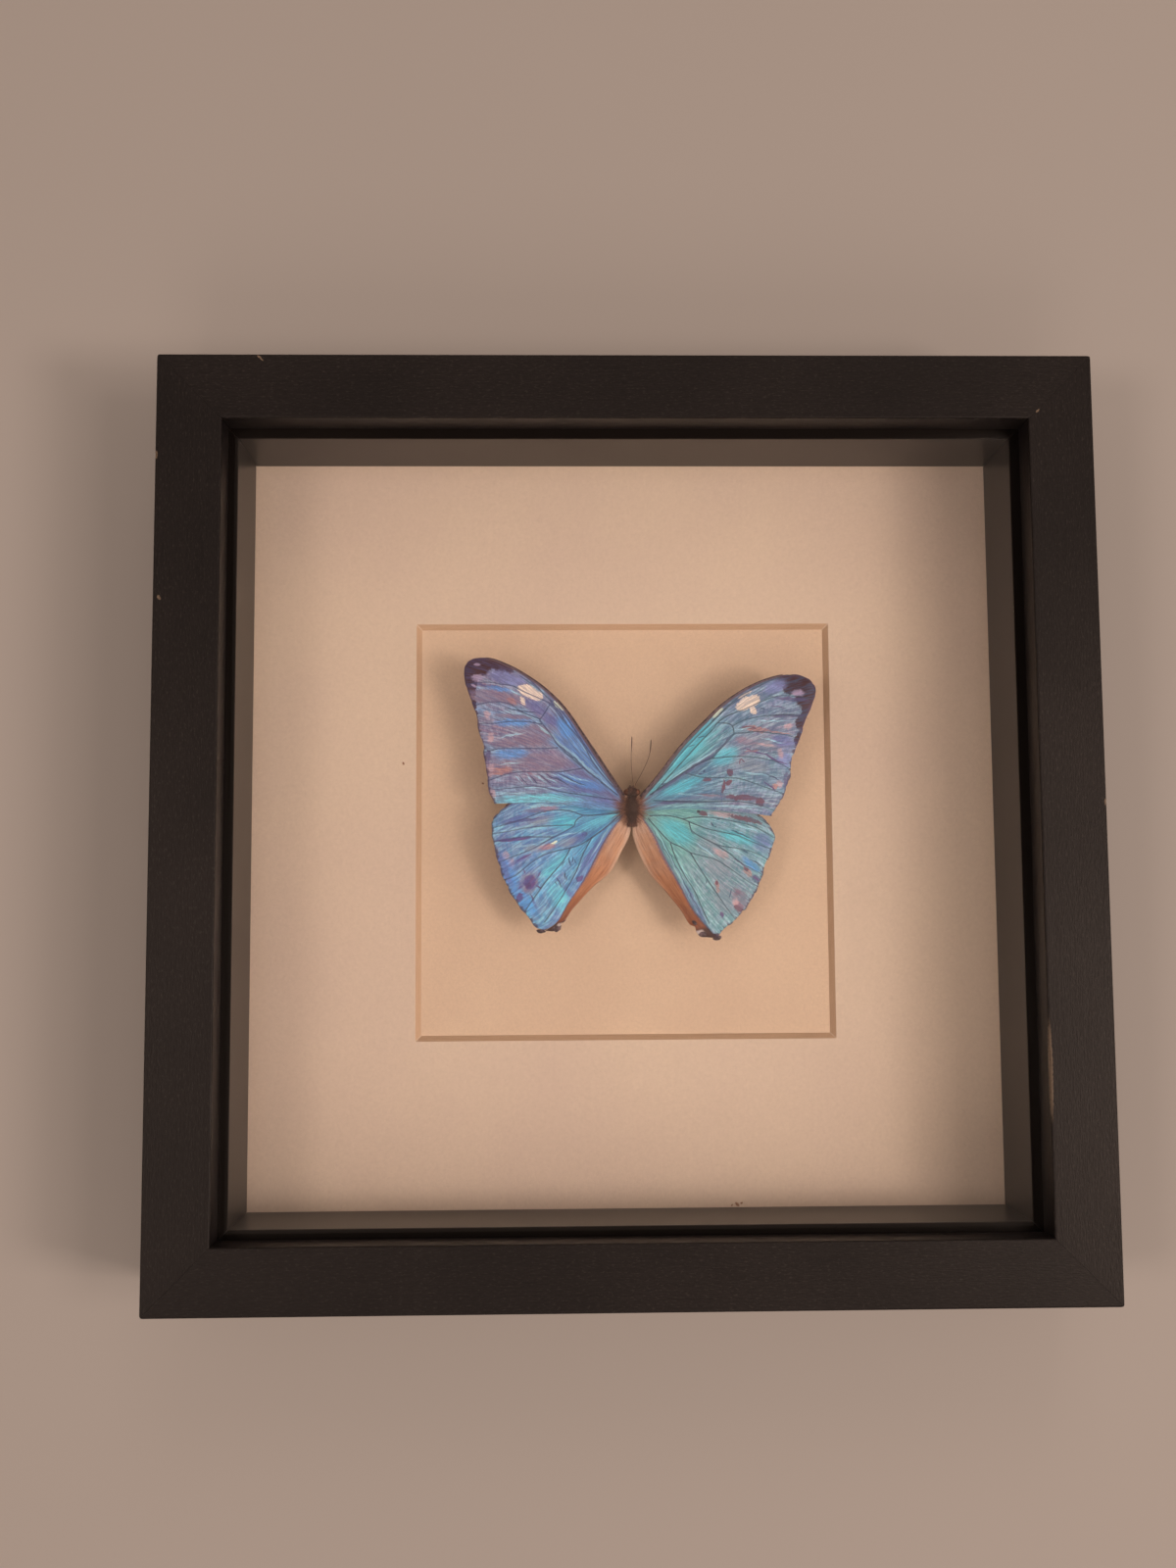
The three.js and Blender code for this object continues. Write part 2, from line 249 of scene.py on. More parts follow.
def smooth_by_angle(piece, degrees=30):
    pick(piece)
    bpy.ops.object.shade_smooth_by_angle(angle=math.radians(degrees))


def smooth_beside_flats(piece):
    """Smooth rounded edges, with the large flat faces between them kept flat."""
    smooth_by_angle(piece)
    apply_modifier(piece, "WEIGHTED_NORMAL", keep_sharp=True)


def join(pieces):
    """Joins the pieces into the first one."""
    bpy.ops.object.select_all(action="DESELECT")
    for piece in pieces:
        piece.select_set(True)
    bpy.context.view_layer.objects.active = pieces[0]
    bpy.ops.object.join()
    return pieces[0]


def turned_copy(piece, name, quarters):
    """A copy with its own mesh, turned by quarter turns about the frame's middle."""
    twin = piece.copy()
    twin.data = piece.data.copy()
    bpy.context.scene.collection.objects.link(twin)
    rename(twin, name)
    twin.rotation_euler.z = quarters * math.pi / 2
    settle(twin)
    return twin


def roughen(piece, fineness, amount):
    """Moves each point sideways by a noise, for a ragged outline."""
    for point in piece.data.vertices:
        shift = noise.noise_vector(point.co / MM * fineness) * amount
        point.co += Vector((shift.x, shift.y, 0)) * MM


def hand_over(piece, slot, *nodes):
    """Every finished piece rides on the frame, and the CAD nodes it stands for are hidden."""
    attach(piece, "root")
    if nodes:
        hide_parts(*nodes)


def give(piece, *finishes):
    piece.data.materials.clear()
    for finish in finishes:
        piece.data.materials.append(finish.material)


# ---------------------------------------------------------------- finishes

class Amount:
    """A number or colour that changes over a surface, from one socket of a finish's nodes."""

    def __init__(self, finish, socket):
        self.finish = finish
        self.socket = socket

    def __add__(self, other):
        return self.finish.sum("ADD", self, other)

    def __radd__(self, other):
        return self.finish.sum("ADD", other, self)

    def __sub__(self, other):
        return self.finish.sum("SUBTRACT", self, other)

    def __rsub__(self, other):
        return self.finish.sum("SUBTRACT", other, self)

    def __mul__(self, other):
        return self.finish.sum("MULTIPLY", self, other)

    def most(self, other):
        return self.finish.sum("MAXIMUM", self, other)

    def size(self):
        return self.finish.sum("ABSOLUTE", self)

    def rise(self, low, high):
        """0 below low and 1 above high, with a smooth step between. It falls where low is higher."""
        return self.finish.node("ShaderNodeMapRange", {"interpolation_type": "SMOOTHSTEP"},
                                {"Value": self, "From Min": low, "From Max": high})


class Finish:
    """A material built of nodes."""

    def __init__(self, name):
        self.material = bpy.data.materials.new(name)
        self.material.use_nodes = True
        self.tree = self.material.node_tree
        self.tree.nodes.clear()

    def node(self, kind, settings=None, inputs=None, out=0):
        """Adds a node, with its settings set first, and returns one of its outputs."""
        made = self.tree.nodes.new(kind)
        for setting, value in (settings or {}).items():
            if setting == "stops":
                set_stops(made.color_ramp, value)
            else:
                setattr(made, setting, value)
        for socket, value in (inputs or {}).items():
            if isinstance(value, Amount):
                self.tree.links.new(value.socket, made.inputs[socket])
            else:
                made.inputs[socket].default_value = value
        return Amount(self, made.outputs[out]) if len(made.outputs) else None

    def sum(self, operation, *values):
        return self.node("ShaderNodeMath", {"operation": operation}, dict(enumerate(values)))

    def mix(self, share, first, second):
        """A colour between two others: the first at 0, the second at 1."""
        return self.node("ShaderNodeMix", {"data_type": "RGBA"},
                         {0: share, 6: first, 7: second}, out=2)

    def shade(self, colour, amount):
        """A colour made darker or lighter by an amount about 1."""
        return self.node("ShaderNodeVectorMath", {"operation": "SCALE"},
                         {0: colour, "Scale": amount})

    def ramp(self, amount, stops):
        return self.node("ShaderNodeValToRGB", {"stops": stops}, {0: amount})

    def place(self, centre=(0, 0, 0)):
        """The place on the piece in millimetres from a centre."""
        metres = self.node("ShaderNodeTexCoord", out="Object")
        scaled = self.node("ShaderNodeVectorMath", {"operation": "SCALE"},
                           {0: metres, "Scale": 1 / MM})
        return self.node("ShaderNodeVectorMath", {"operation": "SUBTRACT"},
                         {0: scaled, 1: tuple(centre)})

    def attribute(self, name, out="Fac"):
        return self.node("ShaderNodeAttribute", {"attribute_name": name}, out=out)

    def parts(self, vector):
        """The three numbers of a vector."""
        split = self.node("ShaderNodeSeparateXYZ", inputs={0: vector})
        return [Amount(self, socket) for socket in split.socket.node.outputs]

    def vector(self, x, y, z):
        return self.node("ShaderNodeCombineXYZ", inputs={0: x, 1: y, 2: z})

    def stretch(self, vector, scale):
        return self.node("ShaderNodeVectorMath", {"operation": "MULTIPLY"},
                         {0: vector, 1: scale})

    def noise(self, vector, scale=1.0, detail=2.0, rough=0.5, out="Fac"):
        return self.node("ShaderNodeTexNoise", None, {
            "Vector": vector, "Scale": scale, "Detail": detail, "Roughness": rough}, out=out)

    def wander(self, vector, scale, amount, detail=2.0):
        """The vector, pushed about by a noise."""
        push = self.noise(vector, scale, detail, out="Color")
        middle = self.node("ShaderNodeVectorMath", {"operation": "SUBTRACT"},
                           {0: push, 1: (0.5, 0.5, 0.5)})
        scaled = self.node("ShaderNodeVectorMath", {"operation": "SCALE"},
                           {0: middle, "Scale": amount})
        return self.node("ShaderNodeVectorMath", {"operation": "ADD"}, {0: vector, 1: scaled})

    def spot(self, vector, centre, radii, turn):
        """Distance from the middle of an oval: 1 on its edge. A flat one reaches through the piece."""
        if len(centre) == 2:
            centre, radii = (*centre, 0), (*radii, 1e6)
        inside = self.node("ShaderNodeMapping", {"vector_type": "TEXTURE"}, {
            "Vector": vector, "Location": centre,
            "Rotation": (0, 0, math.radians(turn)), "Scale": radii})
        return self.node("ShaderNodeVectorMath", {"operation": "LENGTH"}, {0: inside}, out="Value")

    def bump(self, height, depth, strength):
        """A bump of a height from 0 to 1 that stands for a depth in millimetres."""
        return self.node("ShaderNodeBump", None, {
            "Strength": strength, "Distance": depth * MM, "Height": height})

    def surface(self, inputs):
        """Ends the material in a Principled shader."""
        shader = self.node("ShaderNodeBsdfPrincipled", None, inputs)
        self.node("ShaderNodeOutputMaterial", None, {"Surface": shader})
        return self


def set_stops(ramp, stops):
    while len(ramp.elements) > 1:
        ramp.elements.remove(ramp.elements[-1])
    ramp.elements[0].position = stops[0][0]
    ramp.elements[0].color = stops[0][1]
    for position, colour in stops[1:]:
        ramp.elements.new(position).color = colour


SEEN_LIGHT = (0.85, 0.67, 0.56)  # how bright a white sheet in the frame looks in the warm light
BRIGHTEST = 0.98  # no surface sends back more of the light than this


def linear(value):
    """A screen tone (0 to 255) as an amount of light (0 to 1)."""
    value /= 255
    return value / 12.92 if value <= 0.04045 else ((value + 0.055) / 1.055) ** 2.4


def seen(red, green, blue):
    """The colour of a surface that looks like this (0 to 255) in the warm light."""
    lit = [linear(value) / light for value, light in zip((red, green, blue), SEEN_LIGHT)]
    return (*(min(BRIGHTEST, value) for value in lit), 1)


def black_lacquer():
    """Satin black over a fine lengthwise grain, rubbed through to the board in a few places."""
    f = Finish("black_lacquer")
    place = f.place()
    grain_place = f.attribute("grain", "Vector")
    grain = f.noise(f.stretch(grain_place, (0.05, 1.6, 1.6)), 1.0, 3)
    pores = f.noise(f.stretch(grain_place, (0.35, 5.0, 5.0)), 1.0, 1).rise(0.55, 0.75)
    fibres = f.noise(f.stretch(grain_place, (0.5, 2.2, 2.2)), 1.0, 2).rise(0.35, 0.65)
    flecks = f.noise(f.stretch(grain_place, (0.8, 2.2, 2.2)), 1.0, 2).rise(0.56, 0.70)
    speckle = f.noise(place, 2.4, 2)
    clouds = f.noise(place, 0.02, 3)
    deep = seen(25, 19, 18)
    worn_black = seen(42, 33, 30)
    colour = f.mix(clouds.rise(0.35, 0.75) * 0.5 + grain * 0.4, deep, worn_black)
    colour = f.shade(colour, 0.6 + speckle * 0.5 + fibres * 0.3)
    colour = f.mix(flecks * clouds * 0.32, colour, seen(92, 78, 68))
    raw = f.mix(speckle, seen(116, 84, 62), seen(168, 138, 112))
    ragged = f.wander(place, 1.2, 0.7)
    for centre, radii, turn, strength in RUBBED_PLACES:
        mark = f.spot(ragged, centre, radii, turn).rise(1.0, 0.6)
        colour = f.mix(mark * strength, colour, raw)
    relief = grain * 0.5 + speckle * 0.4 + fibres * 0.4 - pores * 0.5
    return f.surface({
        "Base Color": colour, "Roughness": 0.36 + grain * 0.16,
        "Specular IOR Level": 0.36, "Normal": f.bump(relief, 0.06, 0.5)})


# Places on the rails where the lacquer is chipped or rubbed: middle, half sizes, turn, strength
RUBBED_PLACES = [
    ((-97.8, 124.1, 45.0), (1.6, 0.3, 0.8), -42, 0.9),
    ((-124.8, 97.5, 45.0), (0.6, 1.3, 0.9), 0, 0.9),
    ((-123.3, 59.2, 45.0), (0.5, 0.8, 0.6), 20, 0.7),
    ((110.2, 109.7, 45.0), (0.8, 0.28, 0.6), 50, 0.9),
    ((124.9, 4.4, 45.0), (0.6, 1.1, 0.9), 0, 0.9),
    ((107.9, -65.0, 44.8), (0.7, 15.0, 1.3), 0, 0.6),
]


def spacer_black():
    """Smooth half-gloss black of the inner walls."""
    f = Finish("spacer_black")
    place = f.place()
    clouds = f.noise(place, 0.04, 2)
    fine = f.noise(place, 2.2, 2)
    colour = f.mix(clouds * 0.7 + fine * 0.3, seen(22, 15, 12), seen(36, 26, 21))
    return f.surface({"Base Color": colour, "Roughness": 0.28 + clouds * 0.04 + fine * 0.04,
                      "Specular IOR Level": 0.26, "Normal": f.bump(fine, 0.01, 0.2)})


def mat_paper():
    """Warm white board paper with a fine tooth, and painted shade near the inner walls."""
    f = Finish("mat_paper")
    place = f.place()
    tooth = f.noise(place, 1.9, 3, 0.6)
    fibre = f.noise(f.wander(place, 0.3, 2.0), 0.9, 4, 0.65)
    clouds = f.noise(place, 0.014, 3)
    colour = f.mix(clouds.rise(0.3, 0.7), seen(208, 175, 152), seen(214, 181, 155))
    colour = f.shade(colour, 0.81 + tooth * 0.2 + fibre * 0.18)
    x, y, _ = f.parts(place)
    # Painted shade: the mat is darkened towards the inner walls, where their shade falls.
    painted_wall_shade = x.size().most(y.size()).rise(98, 106)
    colour = f.mix(painted_wall_shade * 0.12, colour, seen(176, 136, 104))
    return f.surface({"Base Color": colour, "Roughness": 0.86 + tooth * 0.1,
                      "Specular IOR Level": 0.25,
                      "Normal": f.bump(tooth * 0.6 + fibre * 0.4, 0.07, 0.55)})


def mat_core():
    """The tan core that the bevel cut lays bare."""
    f = Finish("mat_core")
    place = f.place()
    layers = f.noise(f.stretch(place, (0.25, 0.25, 7.0)), 1.0, 3)
    fray = f.noise(place, 3.0, 2)
    colour = f.mix(layers, seen(180, 138, 107), seen(202, 160, 128))
    colour = f.shade(colour, 0.9 + fray * 0.2)
    return f.surface({"Base Color": colour, "Roughness": 0.92, "Specular IOR Level": 0.2,
                      "Normal": f.bump(fray, 0.08, 0.6)})


def cream_paper():
    """The cream sheet behind the specimen, a little yellower than the mat."""
    f = Finish("cream_paper")
    place = f.place()
    tooth = f.noise(place, 1.6, 3, 0.6)
    clouds = f.noise(place, 0.03, 3)
    colour = f.mix(clouds.rise(0.3, 0.7), seen(209, 171, 142), seen(214, 176, 146))
    return f.surface({"Base Color": f.shade(colour, 0.87 + tooth * 0.26),
                      "Roughness": 0.88 + tooth * 0.08, "Specular IOR Level": 0.25,
                      "Normal": f.bump(tooth, 0.06, 0.5)})


def clear_glass():
    """Float glass. Its shadow rays pass straight through, so the light reaches the specimen."""
    f = Finish("clear_glass")
    haze = f.noise(f.place(), 0.03, 3)
    glass = f.node("ShaderNodeBsdfPrincipled", None, {
        "Base Color": (0.985, 0.995, 0.99, 1), "Transmission Weight": 1.0, "IOR": 1.5,
        "Roughness": 0.004 + haze * 0.004})
    open_air = f.node("ShaderNodeBsdfTransparent")
    is_shadow = f.node("ShaderNodeLightPath", out="Is Shadow Ray")
    shader = f.node("ShaderNodeMixShader", None, {0: is_shadow, 1: glass, 2: open_air})
    f.node("ShaderNodeOutputMaterial", None, {"Surface": shader})
    return f


def pressed_hardboard():
    """Brown pressed fibre with the screen mark of its rear side."""
    f = Finish("pressed_hardboard")
    place = f.place()
    x, y, _ = f.parts(place)
    screen = f.sum("SINE", x * 3.4) * f.sum("SINE", y * 3.4)
    fibres = f.noise(f.wander(place, 0.2, 5.0), 0.7, 5, 0.65)
    clouds = f.noise(place, 0.02, 3)
    colour = f.mix(fibres, seen(92, 58, 36), seen(150, 104, 68))
    colour = f.shade(colour, 0.85 + clouds * 0.25 + screen * 0.06)
    return f.surface({"Base Color": colour, "Roughness": 0.72 + fibres * 0.15,
                      "Specular IOR Level": 0.3,
                      "Normal": f.bump(screen * 0.35 + fibres * 0.8, 0.16, 0.7)})


def plain_steel(name, light, dark, roughness):
    """Zinc-coated sheet steel: fine rolling lines, and clouds where the zinc is duller."""
    f = Finish(name)
    place = f.place()
    rolled = f.noise(f.stretch(place, (0.5, 6.0, 6.0)), 1.0, 2)
    clouds = f.noise(place, 0.5, 3).rise(0.35, 0.75)
    colour = f.shade(f.mix(clouds * 0.5, light, dark), 0.9 + rolled * 0.2)
    return f.surface({"Base Color": colour, "Metallic": 1.0,
                      "Roughness": roughness + clouds * 0.12 + rolled * 0.1,
                      "Normal": f.bump(rolled, 0.03, 0.4)})


def white_foam():
    """Fine closed-cell foam of the hidden mounting block."""
    f = Finish("white_foam")
    place = f.place()
    cells = f.node("ShaderNodeTexVoronoi", None, {"Vector": place, "Scale": 2.6}, out="Distance")
    colour = f.mix(cells.rise(0.1, 0.6), seen(196, 174, 150), seen(226, 204, 180))
    return f.surface({"Base Color": colour, "Roughness": 0.9,
                      "Normal": f.bump(cells, 0.2, 0.6)})


# ---------------------------------------------------------------- the frame

LIP_EDGE_RADIUS = 0.5
CORNER_RADIUS = 1.2
CORNER_FLATS = (12, 34)  # degrees to which the flats that make up half a rounded corner face
REAR_CHAMFER = 0.4
END_WASTE = 5  # extra length of a rail's blank at either end, which the mitres cut off
MITRE_GAP = 0.004  # a glued joint: no light passes
MITRE_SOFTNESS = 0.14
GRAIN_APART = 400  # from one rail's grain to the next one's, so that no two are alike
SPACER_EDGE = 0.22
MAT_EDGE = 0.1
TAB_EDGE = 0.1
HANGER_EDGE = 0.12
TAB_OFFSET = 55
TAB_SLOT = (8.6, 6.3, 1.1)  # width, depth and height
CHIP_MERGE = 0.004
CHIPS = {  # cut out of a side's edges: middle, half sizes
    "top": [((-98.8, 124.95, 44.95), (0.8, 0.4, 0.35))],
    "left": [((-124.95, 97.5, 44.95), (0.5, 1.1, 0.5)), ((-123.3, 59.2, 45.15), (0.4, 0.6, 0.3))],
    "bottom": [],
    "right": [((124.95, 4.4, 44.95), (0.5, 0.9, 0.5)), ((107.65, -62.0, 44.95), (0.35, 4.5, 0.35)),
              ((107.65, -74.5, 44.95), (0.32, 2.2, 0.3))],
}


def cut_mitres(piece, gap):
    """Cuts both ends of a strip on the frame's +Y side at 45 degrees."""
    for end in (-1, 1):
        with editing(piece):
            bpy.ops.mesh.select_all(action="SELECT")
            bpy.ops.mesh.bisect(plane_co=(0, gap * MM, 0), plane_no=(end, -1, 0),
                                use_fill=True, clear_outer=True)


def round_corners(piece, radius):
    """Rounds the frame's outer corners, half of each on either rail."""
    for end in (-1, 1):
        middle = Vector((end * (OUTER - radius), OUTER - radius, 0))
        for degrees in CORNER_FLATS:
            turn = math.radians(degrees)
            outward = Vector((end * math.sin(turn), math.cos(turn), 0))
            with editing(piece):
                bpy.ops.mesh.select_all(action="SELECT")
                bpy.ops.mesh.bisect(plane_co=(middle + outward * radius) * MM, plane_no=outward,
                                    use_fill=True, clear_outer=True)


def soften_mitre_edges(piece, size):
    """A small bevel round each mitred end, so that the joint shows as a fine line."""
    def round_the_end(a, b):
        on_mitre = [abs(abs(p.x) - (p.y - MITRE_GAP)) < SAME_PLACE for p in (a, b)]
        return all(on_mitre) and min(a.z, b.z) > LIP_Z
    with editing(piece, "EDGE"):
        select_edges(piece, round_the_end)
        bpy.ops.mesh.bevel(offset=size * MM, segments=2, affect="EDGES", clamp_overlap=True)


def rail_blank():
    """A rail of the +Y side: the lip, and behind it the leg that leaves room for the filling."""
    half = OUTER + END_WASTE
    rail = add_block("rail_blank", (-half, LIP_INNER, LIP_Z), (half, OUTER, FRAME_DEPTH))
    with editing(rail):
        bpy.ops.mesh.select_all(action="SELECT")
        bpy.ops.mesh.bisect(plane_co=(0, WALL_INNER * MM, 0), plane_no=(0, 1, 0))
        select_faces(rail, lambda middle, normal: normal.z < -0.9 and middle.y > WALL_INNER)
        bpy.ops.mesh.extrude_region_move(TRANSFORM_OT_translate={"value": (0, 0, -LIP_Z * MM)})
    with editing(rail, "EDGE"):
        select_edges(rail, lambda a, b: min(a.z, b.z) > FRAME_DEPTH - SAME_PLACE
                     and abs(a.y - b.y) < SAME_PLACE and abs(a.y - WALL_INNER) > 0.5)
        bpy.ops.mesh.bevel(offset=LIP_EDGE_RADIUS * MM, segments=5, affect="EDGES")
    with editing(rail, "EDGE"):
        select_edges(rail, lambda a, b: max(a.z, b.z) < SAME_PLACE
                     and abs(a.y - b.y) < SAME_PLACE)
        bpy.ops.mesh.bevel(offset=REAR_CHAMFER * MM, segments=2, affect="EDGES")
    cut_mitres(rail, MITRE_GAP)
    round_corners(rail, CORNER_RADIUS)
    soften_mitre_edges(rail, MITRE_SOFTNESS)
    width, depth, height = TAB_SLOT
    tab_low, _ = place_of("retaining_tab_top_left")
    for x in (-TAB_OFFSET, TAB_OFFSET):
        bottom = tab_low.z - FIT_GAP
        slot = add_block("slot_cutter", (x - width / 2, WALL_INNER - 1, bottom),
                         (x + width / 2, WALL_INNER + depth, bottom + height))
        cut_away(rail, slot)
    merge_points(rail)
    return rail


def add_rails(finish):
    """Four rails from one blank, each with its own chips."""
    blank = rail_blank()
    for quarters, side in enumerate(SIDES):
        rail = turned_copy(blank, f"rail_{side}", quarters)
        for middle, radii in CHIPS[side]:
            bpy.ops.mesh.primitive_ico_sphere_add(subdivisions=2, radius=MM,
                                                  location=Vector(middle) * MM, scale=radii)
            chip = name_piece("chip_cutter")
            settle(chip)
            cut_away(rail, chip)
        merge_points(rail, CHIP_MERGE)
        smooth_beside_flats(rail)
        store_grain(rail, quarters)
        give(rail, finish)
        hand_over(rail, "black_rail", f"frame_rail_{side}")
    bpy.data.objects.remove(blank)


def store_grain(piece, quarters):
    """Keeps each point's place along and across its own rail, for a grain that follows the rail."""
    apart = GRAIN_APART * quarters
    turn = Matrix.Rotation(-quarters * math.pi / 2, 3, "Z")
    grain = piece.data.attributes.new("grain", "FLOAT_VECTOR", "POINT")
    for point, value in zip(piece.data.vertices, grain.data):
        x, y, z = turn @ point.co / MM
        value.vector = (x + apart, y, z)


def add_spacers(finish):
    """The inner walls, which hold the glass and the mat board apart."""
    blank = add_block("spacer_blank", (-OUTER, SPACER_LOW.y, SPACER_LOW.z),
                      (OUTER, SPACER_HIGH.y, SPACER_HIGH.z))
    cut_mitres(blank, MITRE_GAP)
    apply_modifier(blank, "BEVEL", width=SPACER_EDGE * MM, segments=2, limit_method="ANGLE",
                   angle_limit=math.radians(40))
    for quarters, side in enumerate(SIDES):
        spacer = turned_copy(blank, f"wall_board_{side}", quarters)
        smooth_beside_flats(spacer)
        give(spacer, finish)
        hand_over(spacer, "black_spacer", f"spacer_{side}")
    bpy.data.objects.remove(blank)


WINDOW_HALF = 116.5 / 2  # halfway up the bevel


def add_window_mat(paper, core):
    """The mat board: a square ring with a 45 degree bevel round its window."""
    outer = MAT_HIGH.x
    thickness = MAT_HIGH.z - MAT_LOW.z
    window = WINDOW_HALF + thickness / 2
    bpy.ops.mesh.primitive_plane_add(size=2 * outer * MM, location=(0, 0, MAT_HIGH.z * MM))
    mat = name_piece("window_mat")
    settle(mat)
    with editing(mat):
        bpy.ops.mesh.select_all(action="SELECT")
        bpy.ops.mesh.inset(thickness=(outer - window) * MM)
        bpy.ops.mesh.delete(type="FACE")
        bpy.ops.mesh.select_all(action="SELECT")
        bpy.ops.mesh.extrude_region_move(TRANSFORM_OT_translate={"value": (0, 0, -thickness * MM)})
    with editing(mat, "VERT"):
        select_points(mat, lambda p: p.z < MAT_LOW.z + 0.1 and abs(p.x) < window + 1)
        bpy.ops.transform.resize(value=((window - thickness) / window,) * 2 + (1,),
                                 center_override=(0, 0, 0))
    recalculate_normals(mat)
    give(mat, paper, core)
    for face in mat.data.polygons:
        slanted = abs(face.normal.z) > 0.3 and abs(face.normal.z) < 0.95
        face.material_index = 1 if slanted else 0
    apply_modifier(mat, "BEVEL", width=MAT_EDGE * MM, segments=2, limit_method="ANGLE",
                   angle_limit=math.radians(30), material=0)
    smooth_beside_flats(mat)
    hand_over(mat, "mat_board", "mat_board")


def cad_copy(node, name):
    """A copy of a CAD node, its points merged, to be finished as a piece of its own."""
    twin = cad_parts[node].copy()
    twin.data = twin.data.copy()
    twin.parent = None
    for key in list(twin.keys()):
        del twin[key]
    bpy.context.scene.collection.objects.link(twin)
    rename(twin, name)
    merge_points(twin)
    with editing(twin):
        bpy.ops.mesh.select_all(action="SELECT")
        bpy.ops.mesh.dissolve_limited(angle_limit=math.radians(1))
    return twin


def add_stamped(node, name, slot, finish, edge):
    """A stamped steel part: the CAD shape with its edges rounded over."""
    part = cad_copy(node, name)
    apply_modifier(part, "BEVEL", width=edge * MM, segments=2, limit_method="ANGLE",
                   angle_limit=math.radians(30), use_clamp_overlap=True)
    smooth_beside_flats(part)
    give(part, finish)
    hand_over(part, slot, node)


TAB_NAMES = [f"{side}_{place}" for side, places in {
    "top": ("left", "right"), "left": ("lower", "upper"),
    "bottom": ("right", "left"), "right": ("upper", "lower")}.items() for place in places]


NAIL_DOME = [(0.0, 0.0), (0.35, 0.03), (0.7, 0.14), (0.92, 0.32), (1.0, 0.48)]  # share of radius, height
NAIL_HEAD = 0.7  # height of the head
NAIL_SHANK = 0.6  # radius of the shank
NAIL_POINT = 0.6  # length of the point


def add_nail(side, finish):
    """A small domed nail, turned from its half section."""
    node = f"hanger_nail_{side}"
    low, high = place_of(node)
    middle = (low + high) / 2
    radius = (high.x - low.x) / 2
    neck = low.z + NAIL_HEAD
    dome = [(radius * share, low.z + height) for share, height in NAIL_DOME]
    shank = [(radius, neck), (NAIL_SHANK, neck), (NAIL_SHANK, high.z - NAIL_POINT), (0.0, high.z)]
    outline = [(middle.x + r, middle.y, z) for r, z in dome + shank]
    mesh = bpy.data.meshes.new("nail_section")
    mesh.from_pydata([Vector(p) * MM for p in outline],
                     [(i, i + 1) for i in range(len(outline) - 1)], [])
    nail = new_object(f"domed_nail_{side}", mesh)
    with editing(nail, "VERT"):
        bpy.ops.mesh.select_all(action="SELECT")
        bpy.ops.mesh.spin(steps=28, angle=2 * math.pi, axis=(0, 0, 1),
                          center=(middle.x * MM, middle.y * MM, 0))
    merge_points(nail, distance=0.005)
    smooth_by_angle(nail)
    give(nail, finish)
    hand_over(nail, "hanger_steel", node)


def add_frame():
    add_rails(black_lacquer())
    add_spacers(spacer_black())
    add_window_mat(mat_paper(), mat_core())
    give(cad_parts["glass_pane"], clear_glass())
    give(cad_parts["backing_sheet"], cream_paper())
    give(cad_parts["back_panel"], pressed_hardboard())
    give(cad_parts["mounting_block"], white_foam())
    dull = plain_steel("dull_steel", seen(150, 140, 130), seen(96, 82, 70), 0.42)
    bright = plain_steel("bright_zinc", seen(190, 180, 168), seen(140, 126, 110), 0.28)
    for place in TAB_NAMES:
        add_stamped(f"retaining_tab_{place}", f"steel_tab_{place}", "tab_steel", dull,
                    TAB_EDGE)
    add_stamped("sawtooth_hanger", "stamped_hanger", "hanger_steel", bright, HANGER_EDGE)
    for side in ("left", "right"):
        add_nail(side, bright)


# ---------------------------------------------------------------- the wings: their drawing

